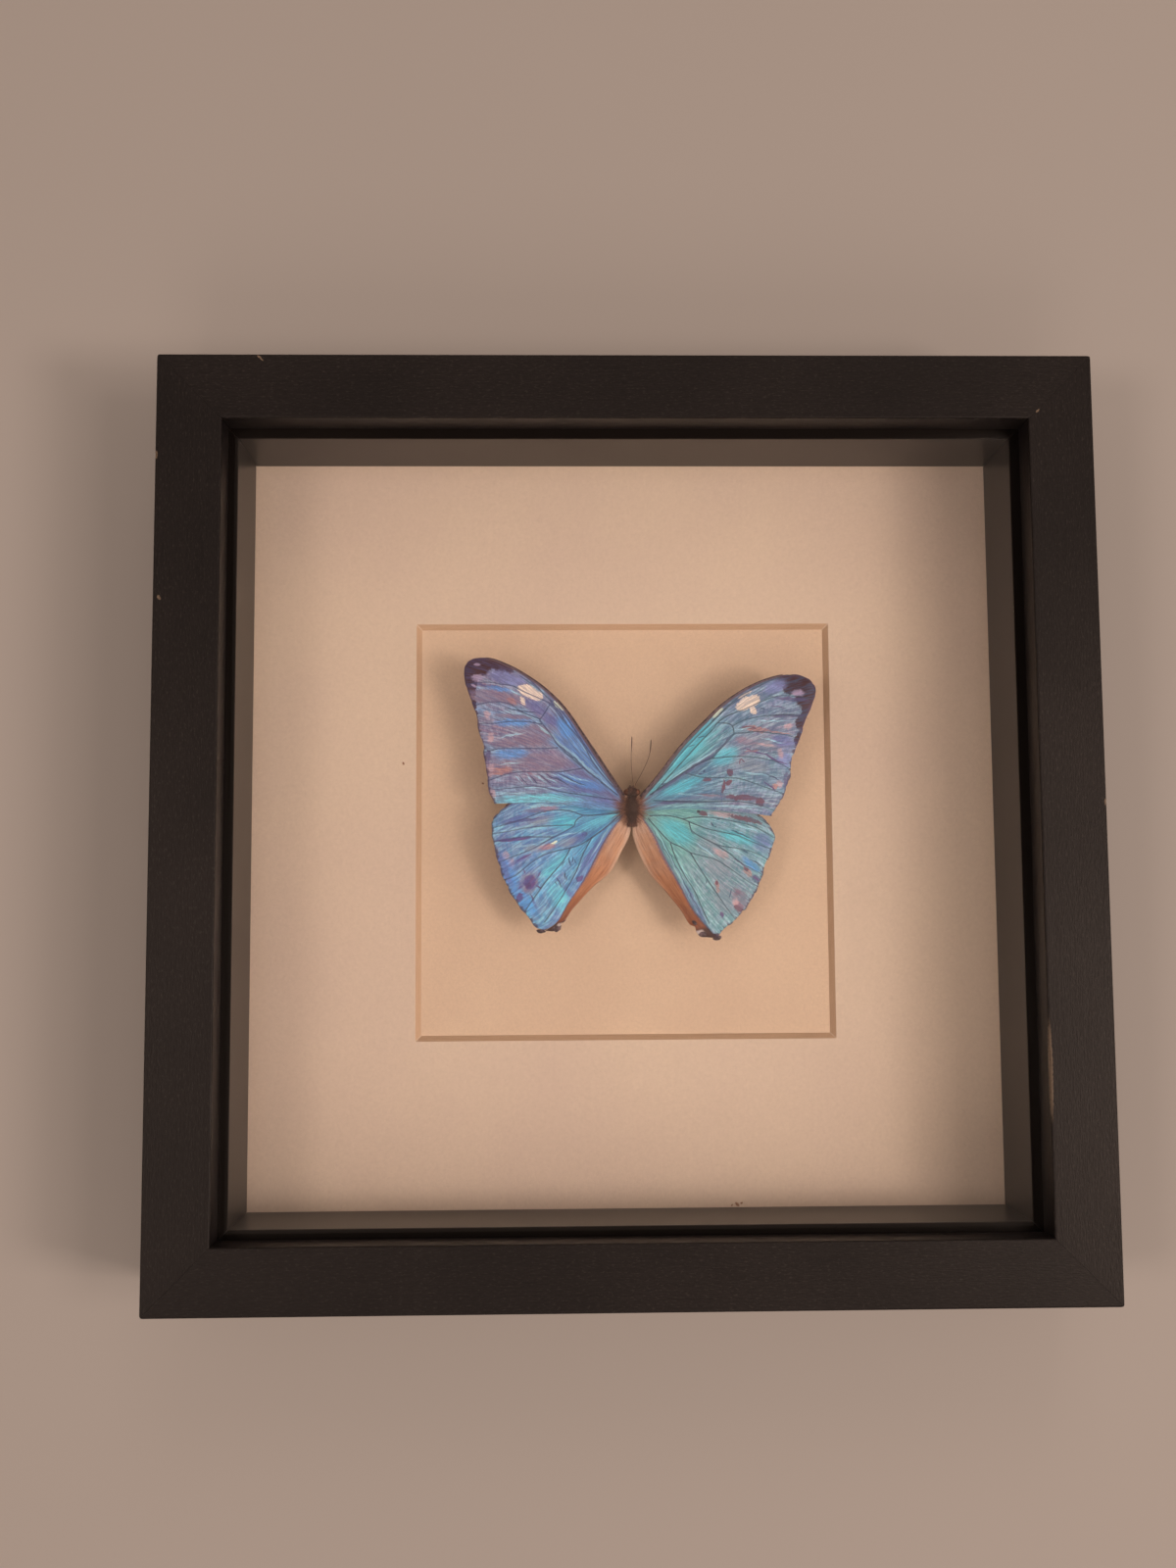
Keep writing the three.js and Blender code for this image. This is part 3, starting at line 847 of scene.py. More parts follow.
# Distances from the middle of the thorax. The front edge runs from the root to the tip, the margin
# from there to the rear corner, and the rear edge from the root to that corner.
WINGS = {
    "forewing_left": {
        "front": [(-2.0, 3.6), (-6.8, 11), (-13.3, 21), (-18.9, 29), (-25.2, 35), (-33.8, 40.3),
                  (-40.1, 42.5)],
        "margin": [(-40.1, 42.5), (-44.7, 42.1), (-46.6, 39), (-45.4, 32.8), (-43.2, 26.6),
                   (-42.3, 21.1), (-41.0, 17.6), (-41.2, 15.4), (-40.2, 10.2), (-40.1, 6.8),
                   (-38.3, 1.7)],
        "rear": [(-2.2, -0.6), (-12, 0.3), (-21.7, 1.8), (-30, 1.9), (-38.3, 1.7)],
        "veins": [
            [(-3.2, 4.6), (-7.8, 10.2), (-14.4, 20.2), (-20, 28.2), (-26, 33.8), (-31, 37.4)],
            [(-3.5, 4.4), (-10, 12), (-14, 19), (-19.5, 25.5), (-22.5, 29.5), (-25.5, 31),
             (-30, 33), (-33, 34.5), (-36.5, 35), (-39.5, 35.5), (-45.4, 35)],
            [(-18, 24.2), (-21, 28.5), (-24.5, 32.5), (-29, 37), (-33, 39.8)],
            [(-4, 4), (-9.5, 8.5), (-14.5, 12.5), (-18.5, 16), (-20.5, 18), (-22.5, 21),
             (-25.5, 25)],
            [(-22.5, 29.5), (-24, 27), (-25.5, 25)],
            [(-25.5, 25.3), (-30, 27), (-34, 29.5), (-38, 30), (-44, 29)],
            [(-25, 23.8), (-29, 24.5), (-34, 24.5), (-38, 24), (-42.6, 24)],
            [(-20.5, 17.2), (-24, 17), (-28.5, 17), (-33, 17), (-36.5, 17), (-41, 16)],
            [(-13.5, 11.5), (-20, 10.5), (-24.5, 10.5), (-30, 10.5), (-34, 10), (-40.1, 8)],
            [(-4, 2.5), (-13.5, 4), (-20, 5), (-26.5, 6.5), (-33, 6), (-39.6, 5.5)],
        ],
        "folds": [
            [(-9.8, 9.3), (-15, 13.6), (-20, 17.6)],
            [(-6, 6.6), (-12, 13), (-17, 19.5), (-20, 24)],
            [(-30, 21.5), (-34, 21), (-38, 20.3)],
            [(-28, 28), (-33, 27.8), (-37, 27.2)],
            [(-8, 2.6), (-20, 3.6), (-33, 4)],
        ],
    },
    "hindwing_left": {
        "front": [(-2.0, 0.6), (-15, 4.3), (-27, 4.8), (-35.0, 1.3)],
        "margin": [(-35.0, 1.3), (-38.9, -3.1), (-38.9, -6.0), (-38.2, -10.6), (-36.1, -18.0),
                   (-33.0, -24.4), (-28.6, -30.2), (-26.3, -32.9), (-24.2, -33.3)],
        "rear": [(-2.2, -1.4), (-5.6, -5.2), (-8.2, -9.3), (-13.3, -19.0), (-18.0, -26.0),
                 (-21.0, -31.0), (-24.2, -33.3)],
        "free_edge": [(-1.6, -2.4), (-0.4, -4.5), (-0.9, -7.6), (-2.7, -11.1), (-6.2, -17.3),
                      (-11.0, -21.4), (-16.9, -27.8), (-18.6, -30.2), (-19.6, -30.9),
                      (-20.0, -31.9), (-20.9, -33.2), (-22.3, -33.5)],
        "veins": [
            [(-4, -1), (-13.5, -1.5), (-16.5, -0.5), (-20.5, 0), (-24.5, -0.5), (-33, -3.5),
             (-39, -5)],
            [(-13.5, -1.5), (-15.5, -3), (-16, -4.5)],
            [(-4, -2), (-7.5, -5), (-11, -7.5), (-14, -9.5), (-17, -10.5), (-21.5, -11.5),
             (-25.5, -13), (-28.5, -15), (-32.5, -18.2), (-36, -19.4)],
            [(-17, -10.5), (-19, -14), (-22, -17.5), (-24.5, -20.5), (-27, -24), (-30, -28.3)],
            [(-11, -7.5), (-13.5, -12), (-15.5, -17), (-18, -21.5), (-20.5, -25.5), (-24.4, -31)],
            [(-16, -4.5), (-20.5, -7), (-23.5, -8.5), (-27, -10.5), (-30.5, -12), (-37.2, -14.5)],
            [(-21.5, -7.5), (-25.5, -7.5), (-30.5, -7.5), (-34.5, -8.3), (-38.6, -8.7)],
            [(-16.5, -4.2), (-24.5, -4.5), (-29.5, -5), (-34.5, -6), (-38.9, -6.6)],
        ],
        "folds": [
            [(-6, -4.6), (-11, -12), (-16, -21), (-22.5, -31)],
            [(-14, -6), (-20, -9), (-24, -10)],
        ],
    },
    "forewing_right": {
        "front": [(2.3, 3.6), (6.1, 7.9), (13.5, 17.4), (19.8, 24), (26.1, 29.9), (34.3, 34.9),
                  (42.4, 37.5)],
        "margin": [(42.4, 37.5), (46.6, 37.5), (50.2, 36.1), (51.7, 32.7), (50.6, 29.0), (48.7, 24.6),
                   (46.7, 18.6), (44.8, 14.0), (44.1, 8.8), (42.4, 4.0), (38.8, -2.1)],
        "rear": [(2.3, -0.6), (15.1, 0.1), (27.9, -0.8), (38.8, -2.1)],
        "veins": [
            [(4.6, 4.8), (9.6, 10.4), (15, 16.9), (21, 22.8), (27, 28.4), (33, 32.4)],
            [(5.5, 4), (13.5, 12.5), (19.5, 19), (22.5, 22), (24, 24), (27, 26), (31, 27.5),
             (35.5, 29.5), (39.5, 31), (43, 31.5), (51, 30.5)],
            [(22.5, 24.5), (30, 31.2), (34.5, 33.6), (38.5, 35.6), (42, 36.8)],
            [(5, 4), (9.5, 7), (15, 10.5), (19.5, 13), (22, 14), (24.5, 16.5), (26.5, 18.5),
             (28.5, 20.8)],
            [(28.6, 20.8), (28.2, 22.8), (27.4, 23.6), (24, 24)],
            [(28, 23), (31, 24.5), (35, 25.5), (40, 26), (45, 26), (49.4, 25)],
            [(28.6, 21), (32, 21.2), (35, 21.5), (39, 21), (43, 20.5), (47, 19.2)],
            [(22.2, 14), (27.5, 14.5), (32, 14.5), (36, 14), (40, 13), (44.3, 10.8)],
            [(15, 10), (19, 8.9), (24.5, 8.6), (29.5, 8.4), (34, 7), (38, 5.5), (42.3, 4)],
            [(6, 2.4), (13.5, 2.1), (20.5, 2), (29.5, 2), (35, 1), (39.6, -0.6)],
        ],
        "folds": [
            [(8, 7.4), (15, 12), (21, 16), (25.5, 20.5)],
            [(9, 5.2), (15, 8), (20, 11.2), (24, 14.8)],
            [(31.5, 16.4), (36, 16), (41, 14.5), (43.6, 13)],
            [(12, 4.4), (20, 3.8), (30, 3.6), (38, 2)],
            [(10, 0.9), (20, 1), (33, 0)],
        ],
    },
    "hindwing_right": {
        "front": [(2.3, 0.6), (14, 3.0), (26, 2.6), (35.5, -1.6)],
        "margin": [(35.5, -1.6), (39.6, -6.8), (39.0, -11.0), (37.0, -15.5), (35.6, -20.0),
                   (32.7, -25.7), (28.8, -30.4), (25.0, -33.6), (23.2, -35.6)],
        "rear": [(2.4, -1.4), (6.3, -7.3), (8.6, -12.4), (13.3, -21.2), (16.7, -27.7),
                 (21.1, -33.3), (23.2, -35.6)],
        "free_edge": [(1.9, -2.4), (0.3, -4.5), (0.4, -7.6), (1.6, -11.1), (4.8, -17.6),
                      (8.5, -21.8), (13.2, -27.7), (15.8, -31.9), (17.0, -32.4), (17.5, -34.0),
                      (18.6, -35.2), (20.4, -35.4)],
        "veins": [
            [(4.5, -2.5), (7.5, -6), (10.5, -9), (13.5, -10.5), (16, -12), (19.5, -13),
             (23, -14), (27, -16.5), (32.5, -20.4), (35, -21.6)],
            [(10.5, -9), (12, -13.5), (14.5, -18.5), (17, -22.5), (18.5, -26), (21, -31.6)],
            [(16, -12), (19, -17), (22, -21.5), (24, -24.5), (26, -27.5), (28.4, -30.6)],
            [(5, -1.7), (10.5, -1.8), (14, -2.7), (17.5, -4.2), (21, -5.5), (25.5, -6.5),
             (29.5, -7.5), (34, -9.5), (39, -11.4)],
            [(14, -2.7), (17.5, -2.2), (22.5, -2.4), (28.5, -3.5), (34, -5), (39.2, -8)],
            [(15.8, -3.6), (16.6, -6), (22.5, -9.5), (27, -12.5), (30, -15), (33, -16.6),
             (36.2, -18.4)],
            [(22.5, -9.5), (25, -10.3), (29.5, -11), (34, -12.2), (37.8, -14.2)],
        ],
        "folds": [
            [(6, -5.4), (10.5, -14), (15, -22.4), (21, -32.4)],
            [(7, -3.4), (12, -7.4), (18, -11), (24, -13.4)],
            [(13, -14), (17, -21), (21, -29)],
        ],
    },
}

WING_LIFT = math.radians(1.5)  # the tips are a little higher than the roots
WING_THICKNESS = 0.11
CURVE_STEPS = 12  # between two points of a curve
HEIGHT_OF = {"forewing": 0.42, "hindwing": -0.45}  # above the middle of the thorax
MEMBRANE_GRID = {"forewing": (190, 120), "hindwing": (160, 120)}  # columns and rows
TROUGH_GRID = (130, 20)
MAIN_VEINS = 5  # the first ones in a wing's list, which are thicker at the root
MAIN_VEIN_RADIUS = 0.10
SIDE_VEIN_RADIUS = 0.07
VEIN_END_RADIUS = 0.04
VEIN_SINK = 0.05  # of a vein's middle below the membrane's top
VEIN_STEP = 0.7
FRONT_EDGE_RADIUS = {"forewing": 0.34, "hindwing": 0.14}
FRONT_EDGE_TIP = 0.12


def smooth_line(points):
    """A smooth line through the points (centripetal Catmull-Rom)."""
    points = np.array(points, float)
    ends = np.vstack([2 * points[0] - points[1], points, 2 * points[-1] - points[-2]])
    line = []
    for p0, p1, p2, p3 in zip(ends, ends[1:], ends[2:], ends[3:]):
        t1 = np.linalg.norm(p1 - p0) ** 0.5
        t2 = t1 + np.linalg.norm(p2 - p1) ** 0.5
        t3 = t2 + np.linalg.norm(p3 - p2) ** 0.5
        for t in np.linspace(t1, t2, CURVE_STEPS, endpoint=False):
            a1 = p0 + (p1 - p0) * t / t1
            a2 = p1 + (p2 - p1) * (t - t1) / (t2 - t1)
            a3 = p2 + (p3 - p2) * (t - t2) / (t3 - t2)
            b1 = a1 + (a2 - a1) * t / t2
            b2 = a2 + (a3 - a2) * (t - t1) / (t3 - t1)
            line.append(b1 + (b2 - b1) * (t - t1) / (t2 - t1))
    line.append(points[-1])
    return np.array(line)


def points_along(line, shares):
    """Points at shares (0 to 1) of a line's length."""
    length = np.r_[0, np.cumsum(np.linalg.norm(np.diff(line, axis=0), axis=1))]
    return np.stack([np.interp(shares * length[-1], length, column) for column in line.T], -1)


def distance_finder(lines, spacing=0.12):
    """A function that gives a point's distance to the nearest of the lines."""
    marks = []
    for line in lines:
        length = np.linalg.norm(np.diff(line, axis=0), axis=1).sum()
        marks.extend(points_along(line, np.linspace(0, 1, max(2, int(length / spacing)))))
    tree = kdtree.KDTree(len(marks))
    for index, (x, y) in enumerate(marks):
        tree.insert((x, y, 0), index)
    tree.balance()
    return lambda x, y: tree.find((x, y, 0))[2]


class Wing:
    """The drawing of one wing, and the height of its membrane over that drawing."""

    def __init__(self, name):
        drawing = WINGS[name]
        self.name = name
        self.kind, self.side = name.split("_")
        outline = smooth_line(drawing["front"] + drawing["margin"][1:])
        tip = CURVE_STEPS * (len(drawing["front"]) - 1)
        self.front, self.margin = outline[:tip + 1], outline[tip:]
        self.rear = smooth_line(drawing["rear"])
        self.veins = [smooth_line(vein) for vein in drawing["veins"]]
        self.folds = [smooth_line(fold) for fold in drawing["folds"]]
        self.to_vein = distance_finder(self.veins)
        self.to_fold = distance_finder(self.folds)
        self.to_front = distance_finder([self.front])
        self.to_margin = distance_finder([self.margin])
        self.seed = 10.0 * list(WINGS).index(name)

    def at(self, span, chord):
        """The place at a share of the span (root to margin) and of the chord (front to rear)."""
        u, v = span[:, None], chord[:, None]
        front, rear = points_along(self.front, span), points_along(self.rear, span)
        root = self.front[0] + (self.rear[0] - self.front[0]) * v
        margin = points_along(self.margin, chord)
        corners = ((1 - u) * (1 - v) * self.front[0] + u * (1 - v) * self.front[-1]
                   + (1 - u) * v * self.rear[0] + u * v * self.rear[-1])
        flat = (1 - v) * front + v * rear + (1 - u) * root + u * margin - corners
        return flat + self.ragged_margin(span, chord)[:, None] * self.inward(margin)

    def inward(self, places):
        """Directions towards the root. At the root itself, which has none, they are short."""
        away = self.front[0] - places
        return away / np.maximum(np.linalg.norm(away, axis=1), 0.01)[:, None]

    def ragged_margin(self, span, chord):
        """How far the margin is drawn in, by shallow scallops and small nicks."""
        near_margin = span ** 14
        scallops = 0.28 * np.abs(np.sin(math.pi * 7.5 * chord + self.seed))
        nicks = np.array([noise.noise((c * 34 + self.seed, 3.1, self.seed)) for c in chord])
        return near_margin * (scallops + 0.5 * np.clip(nicks - 0.15, 0, 1) + 0.1 * nicks)

    def height(self, x, y):
        """Height over the middle of the thorax: lift, slow waves, pleats and raised veins."""
        vein = self.to_vein(x, y)
        fold = self.to_fold(x, y)
        root = math.hypot(x, y - 1.0)
        slow = noise.noise((x * 0.085, y * 0.085, self.seed))
        quick = noise.noise((x * 0.3, y * 0.3, self.seed + 4))
        billow = 0.17 * (1 - math.exp(-((vein / 1.6) ** 2)))
        ridge = 0.09 * math.exp(-((vein / 0.38) ** 2)) + 0.15 * math.exp(-((fold / 0.42) ** 2))
        settled = min(1.0, root / 14)
        curl = -0.5 * max(0.0, 1 - self.to_margin(x, y) / 4.5) ** 2
        return (HEIGHT_OF[self.kind] + abs(x) * math.tan(WING_LIFT)
                + settled * (0.42 * slow + 0.13 * quick + curl) + ridge - billow)

    def heights(self, places):
        return np.array([self.height(x, y) for x, y in places])


def lift_to_frame(places, heights):
    """Places and heights about the thorax as points of the frame, in metres."""
    return (np.column_stack([places, heights]) + np.array(THORAX)) * MM


def grid_piece(name, columns, rows):
    """A flat grid, and its points' shares (0 to 1) along and across it."""
    bpy.ops.mesh.primitive_grid_add(x_subdivisions=columns, y_subdivisions=rows, size=1)
    piece = name_piece(name)
    points = np.empty(len(piece.data.vertices) * 3)
    piece.data.vertices.foreach_get("co", points)
    points = points.reshape(-1, 3)
    piece.data.uv_layers[0].name = "wing"
    return piece, np.clip(points[:, 0] + 0.5, 0, 1), np.clip(points[:, 1] + 0.5, 0, 1)


def keep_amounts(piece, **amounts):
    """Stores an amount for each point of the piece, for its finish to read."""
    for name, values in amounts.items():
        attribute = piece.data.attributes.new(name, "FLOAT", "POINT")
        attribute.data.foreach_set("value", np.array(values, np.float32))


def thicken(piece, thickness, right_way_up):
    """Turns a flat grid's faces up if they aren't, and gives it a thickness below them."""
    if not right_way_up:
        with editing(piece):
            bpy.ops.mesh.select_all(action="SELECT")
            bpy.ops.mesh.flip_normals()
    apply_modifier(piece, "SOLIDIFY", thickness=thickness * MM, offset=-1)
    smooth_all(piece)


def membrane(wing):
    """The thin skin of a wing. Its points keep their distances to the lines of its drawing."""
    piece, span, chord = grid_piece(wing.name + "_membrane", *MEMBRANE_GRID[wing.kind])
    places = wing.at(span, chord)
    points = lift_to_frame(places, wing.heights(places))
    piece.data.vertices.foreach_set("co", points.ravel())
    keep_amounts(piece,
                 vein=[wing.to_vein(x, y) for x, y in places],
                 fold=[wing.to_fold(x, y) for x, y in places],
                 front=[wing.to_front(x, y) for x, y in places],
                 margin=[wing.to_margin(x, y) for x, y in places])
    thicken(piece, WING_THICKNESS, wing.side == "left")
    return piece


def add_tube(name, points, radii, sides=6):
    """A tapered tube along a line of points, closed at both ends."""
    data = bpy.data.curves.new(name, "CURVE")
    data.dimensions = "3D"
    data.bevel_depth = MM
    data.bevel_resolution = (sides - 4) // 2
    data.use_fill_caps = True
    spline = data.splines.new("POLY")
    spline.points.add(len(points) - 1)
    for point, place, radius in zip(spline.points, points, radii):
        point.co = (*place, 1)
        point.radius = radius
    pick(new_object(name, data))
    bpy.ops.object.convert(target="MESH")
    tube = bpy.context.object
    merge_points(tube)
    return tube


def vein_tube(wing, line, radius):
    """A vein: a fine tube half sunk in the membrane, of this radius at its root end."""
    length = np.linalg.norm(np.diff(line, axis=0), axis=1).sum()
    shares = np.linspace(0, 1, max(6, int(length / VEIN_STEP)))
    places = points_along(line, shares)
    points = lift_to_frame(places, wing.heights(places) - VEIN_SINK)
    return add_tube("vein", points, radius + (VEIN_END_RADIUS - radius) * shares)


def wing_edge(wing):
    """The thickened front edge of a wing."""
    inset = points_along(wing.front, np.linspace(0, 1, 60))
    inset = inset + wing.inward(inset) * 0.05
    points = lift_to_frame(inset, wing.heights(inset) + 0.03)
    return add_tube("edge", points,
                    np.linspace(FRONT_EDGE_RADIUS[wing.kind], FRONT_EDGE_TIP, len(points)))


FOLD_DROP = 2.6  # of the hindwing's free edge below its inner edge


def trough(wing):
    """The inner flap of a hindwing, which bends down beside where the abdomen was."""
    inner = points_along(wing.rear, np.linspace(0, 1, 120))
    free = smooth_line(WINGS[wing.name]["free_edge"])
    piece, along, across = grid_piece(wing.name + "_trough", *TROUGH_GRID)
    start = points_along(inner, along)
    end = points_along(free, along)
    t = across[:, None]
    places = start * (1 - t) + end * t
    fall = FOLD_DROP * np.sin(np.clip(along * 1.15, 0, 1) * math.pi) ** 0.6
    wave = np.array([noise.noise((x * 0.25, y * 0.12, wing.seed)) for x, y in places])
    bend = across ** 1.5 - 0.35 * np.clip(across - 0.7, 0, 1)
    heights = wing.heights(start) - 0.02 - fall * bend + 0.25 * wave * across
    piece.data.vertices.foreach_set("co", lift_to_frame(places, heights).ravel())
    thicken(piece, WING_THICKNESS, wing.side == "left")
    return piece


LOBE_HEIGHT = 0.16  # half of it
LOBE_SINK = 0.1  # below the membrane's top
LOBES = {  # small black lobes at a hindwing's rear corner: middle, half sizes, turn
    "hindwing_left": [((-20.9, -32.5), (1.3, 1.0), 40), ((-25.3, -33.4), (1.3, 0.55), -8),
                      ((-19.3, -30.6), (0.8, 0.5), 20)],
    "hindwing_right": [((19.1, -34.0), (1.35, 1.15), -35), ((23.2, -35.6), (1.2, 0.65), 10),
                       ((17.0, -31.4), (0.8, 0.5), -50)],
}


def lobe(wing, middle, radii, turn):
    """One small flat lobe with a ragged edge."""
    x, y = middle
    z = wing.height(x, y) - LOBE_SINK
    bpy.ops.mesh.primitive_uv_sphere_add(
        segments=20, ring_count=8, radius=MM, location=(THORAX + Vector((x, y, z))) * MM,
        rotation=(0, 0, math.radians(turn)), scale=(*radii, LOBE_HEIGHT))
    piece = name_piece("lobe")
    settle(piece)
    roughen(piece, 1.4, 0.22)
    return piece


def add_wing(name, scales, underside, vein_finish, edge_finish, trough_finish=None):
    """One wing as it grew: membrane, raised veins, thick front edge and, behind, the trough."""
    wing = Wing(name)
    piece = membrane(wing)
    give(piece, scales, underside)
    for face in piece.data.polygons:
        face.material_index = 1 if face.normal.z < -0.3 else 0
    tubes = [vein_tube(wing, line, MAIN_VEIN_RADIUS if index < MAIN_VEINS else SIDE_VEIN_RADIUS)
             for index, line in enumerate(wing.veins)]
    for tube in tubes:
        give(tube, vein_finish)
    front = wing_edge(wing)
    give(front, edge_finish)
    parts = [piece, *tubes, front]
    if trough_finish:
        flap = trough(wing)
        give(flap, trough_finish)
        parts.append(flap)
        for middle, radii, turn in LOBES[name]:
            spot = lobe(wing, middle, radii, turn)
            give(spot, edge_finish)
            parts.append(spot)
    whole = join(parts)
    rename(whole, f"scaled_{name}")
    smooth_all(whole)
    hand_over(whole, f"{wing.side}_wings", name)


# ---------------------------------------------------------------- the wings: their colours

def stops(*pairs):
    return [(position, seen(*colour)) for position, colour in pairs]


# Kinds of mark: colour, edge (share of its radius over which it fades), strength, streakiness
MARK_KINDS = {
    "white": (seen(222, 194, 174), 0.16, 1.0, 0.0),
    "cream": (seen(208, 205, 178), 0.2, 0.95, 0.0),
    "pale": (seen(168, 142, 164), 0.7, 0.8, 0.2),
    "blush": (seen(192, 148, 146), 0.8, 0.75, 0.3),
    "lilac": (seen(118, 118, 160), 0.7, 0.85, 0.35),
    "tip": (seen(56, 26, 34), 0.25, 1.0, 0.0),
    "shadow": (seen(74, 56, 92), 0.6, 0.85, 0.3),
    "violet": (seen(92, 92, 142), 0.9, 0.8, 0.4),
    "worn": (seen(130, 104, 118), 0.5, 0.9, 0.5),
    "grey": (seen(134, 134, 142), 0.8, 0.75, 0.3),
    "brown": (seen(106, 68, 80), 0.35, 0.95, 0.0),
    "rust": (seen(170, 112, 98), 0.5, 0.85, 0.4),
    "purple": (seen(92, 58, 104), 0.4, 0.92, 0.1),
    "ink": (seen(44, 56, 84), 0.4, 0.85, 0.0),
    "glint": (seen(158, 190, 218), 0.9, 0.8, 0.45),
    "bright": (seen(104, 188, 214), 0.9, 0.8, 0.4),
    "blue": (seen(78, 134, 188), 0.9, 0.8, 0.3),
    "teal": (seen(82, 178, 186), 0.9, 0.8, 0.3),
}
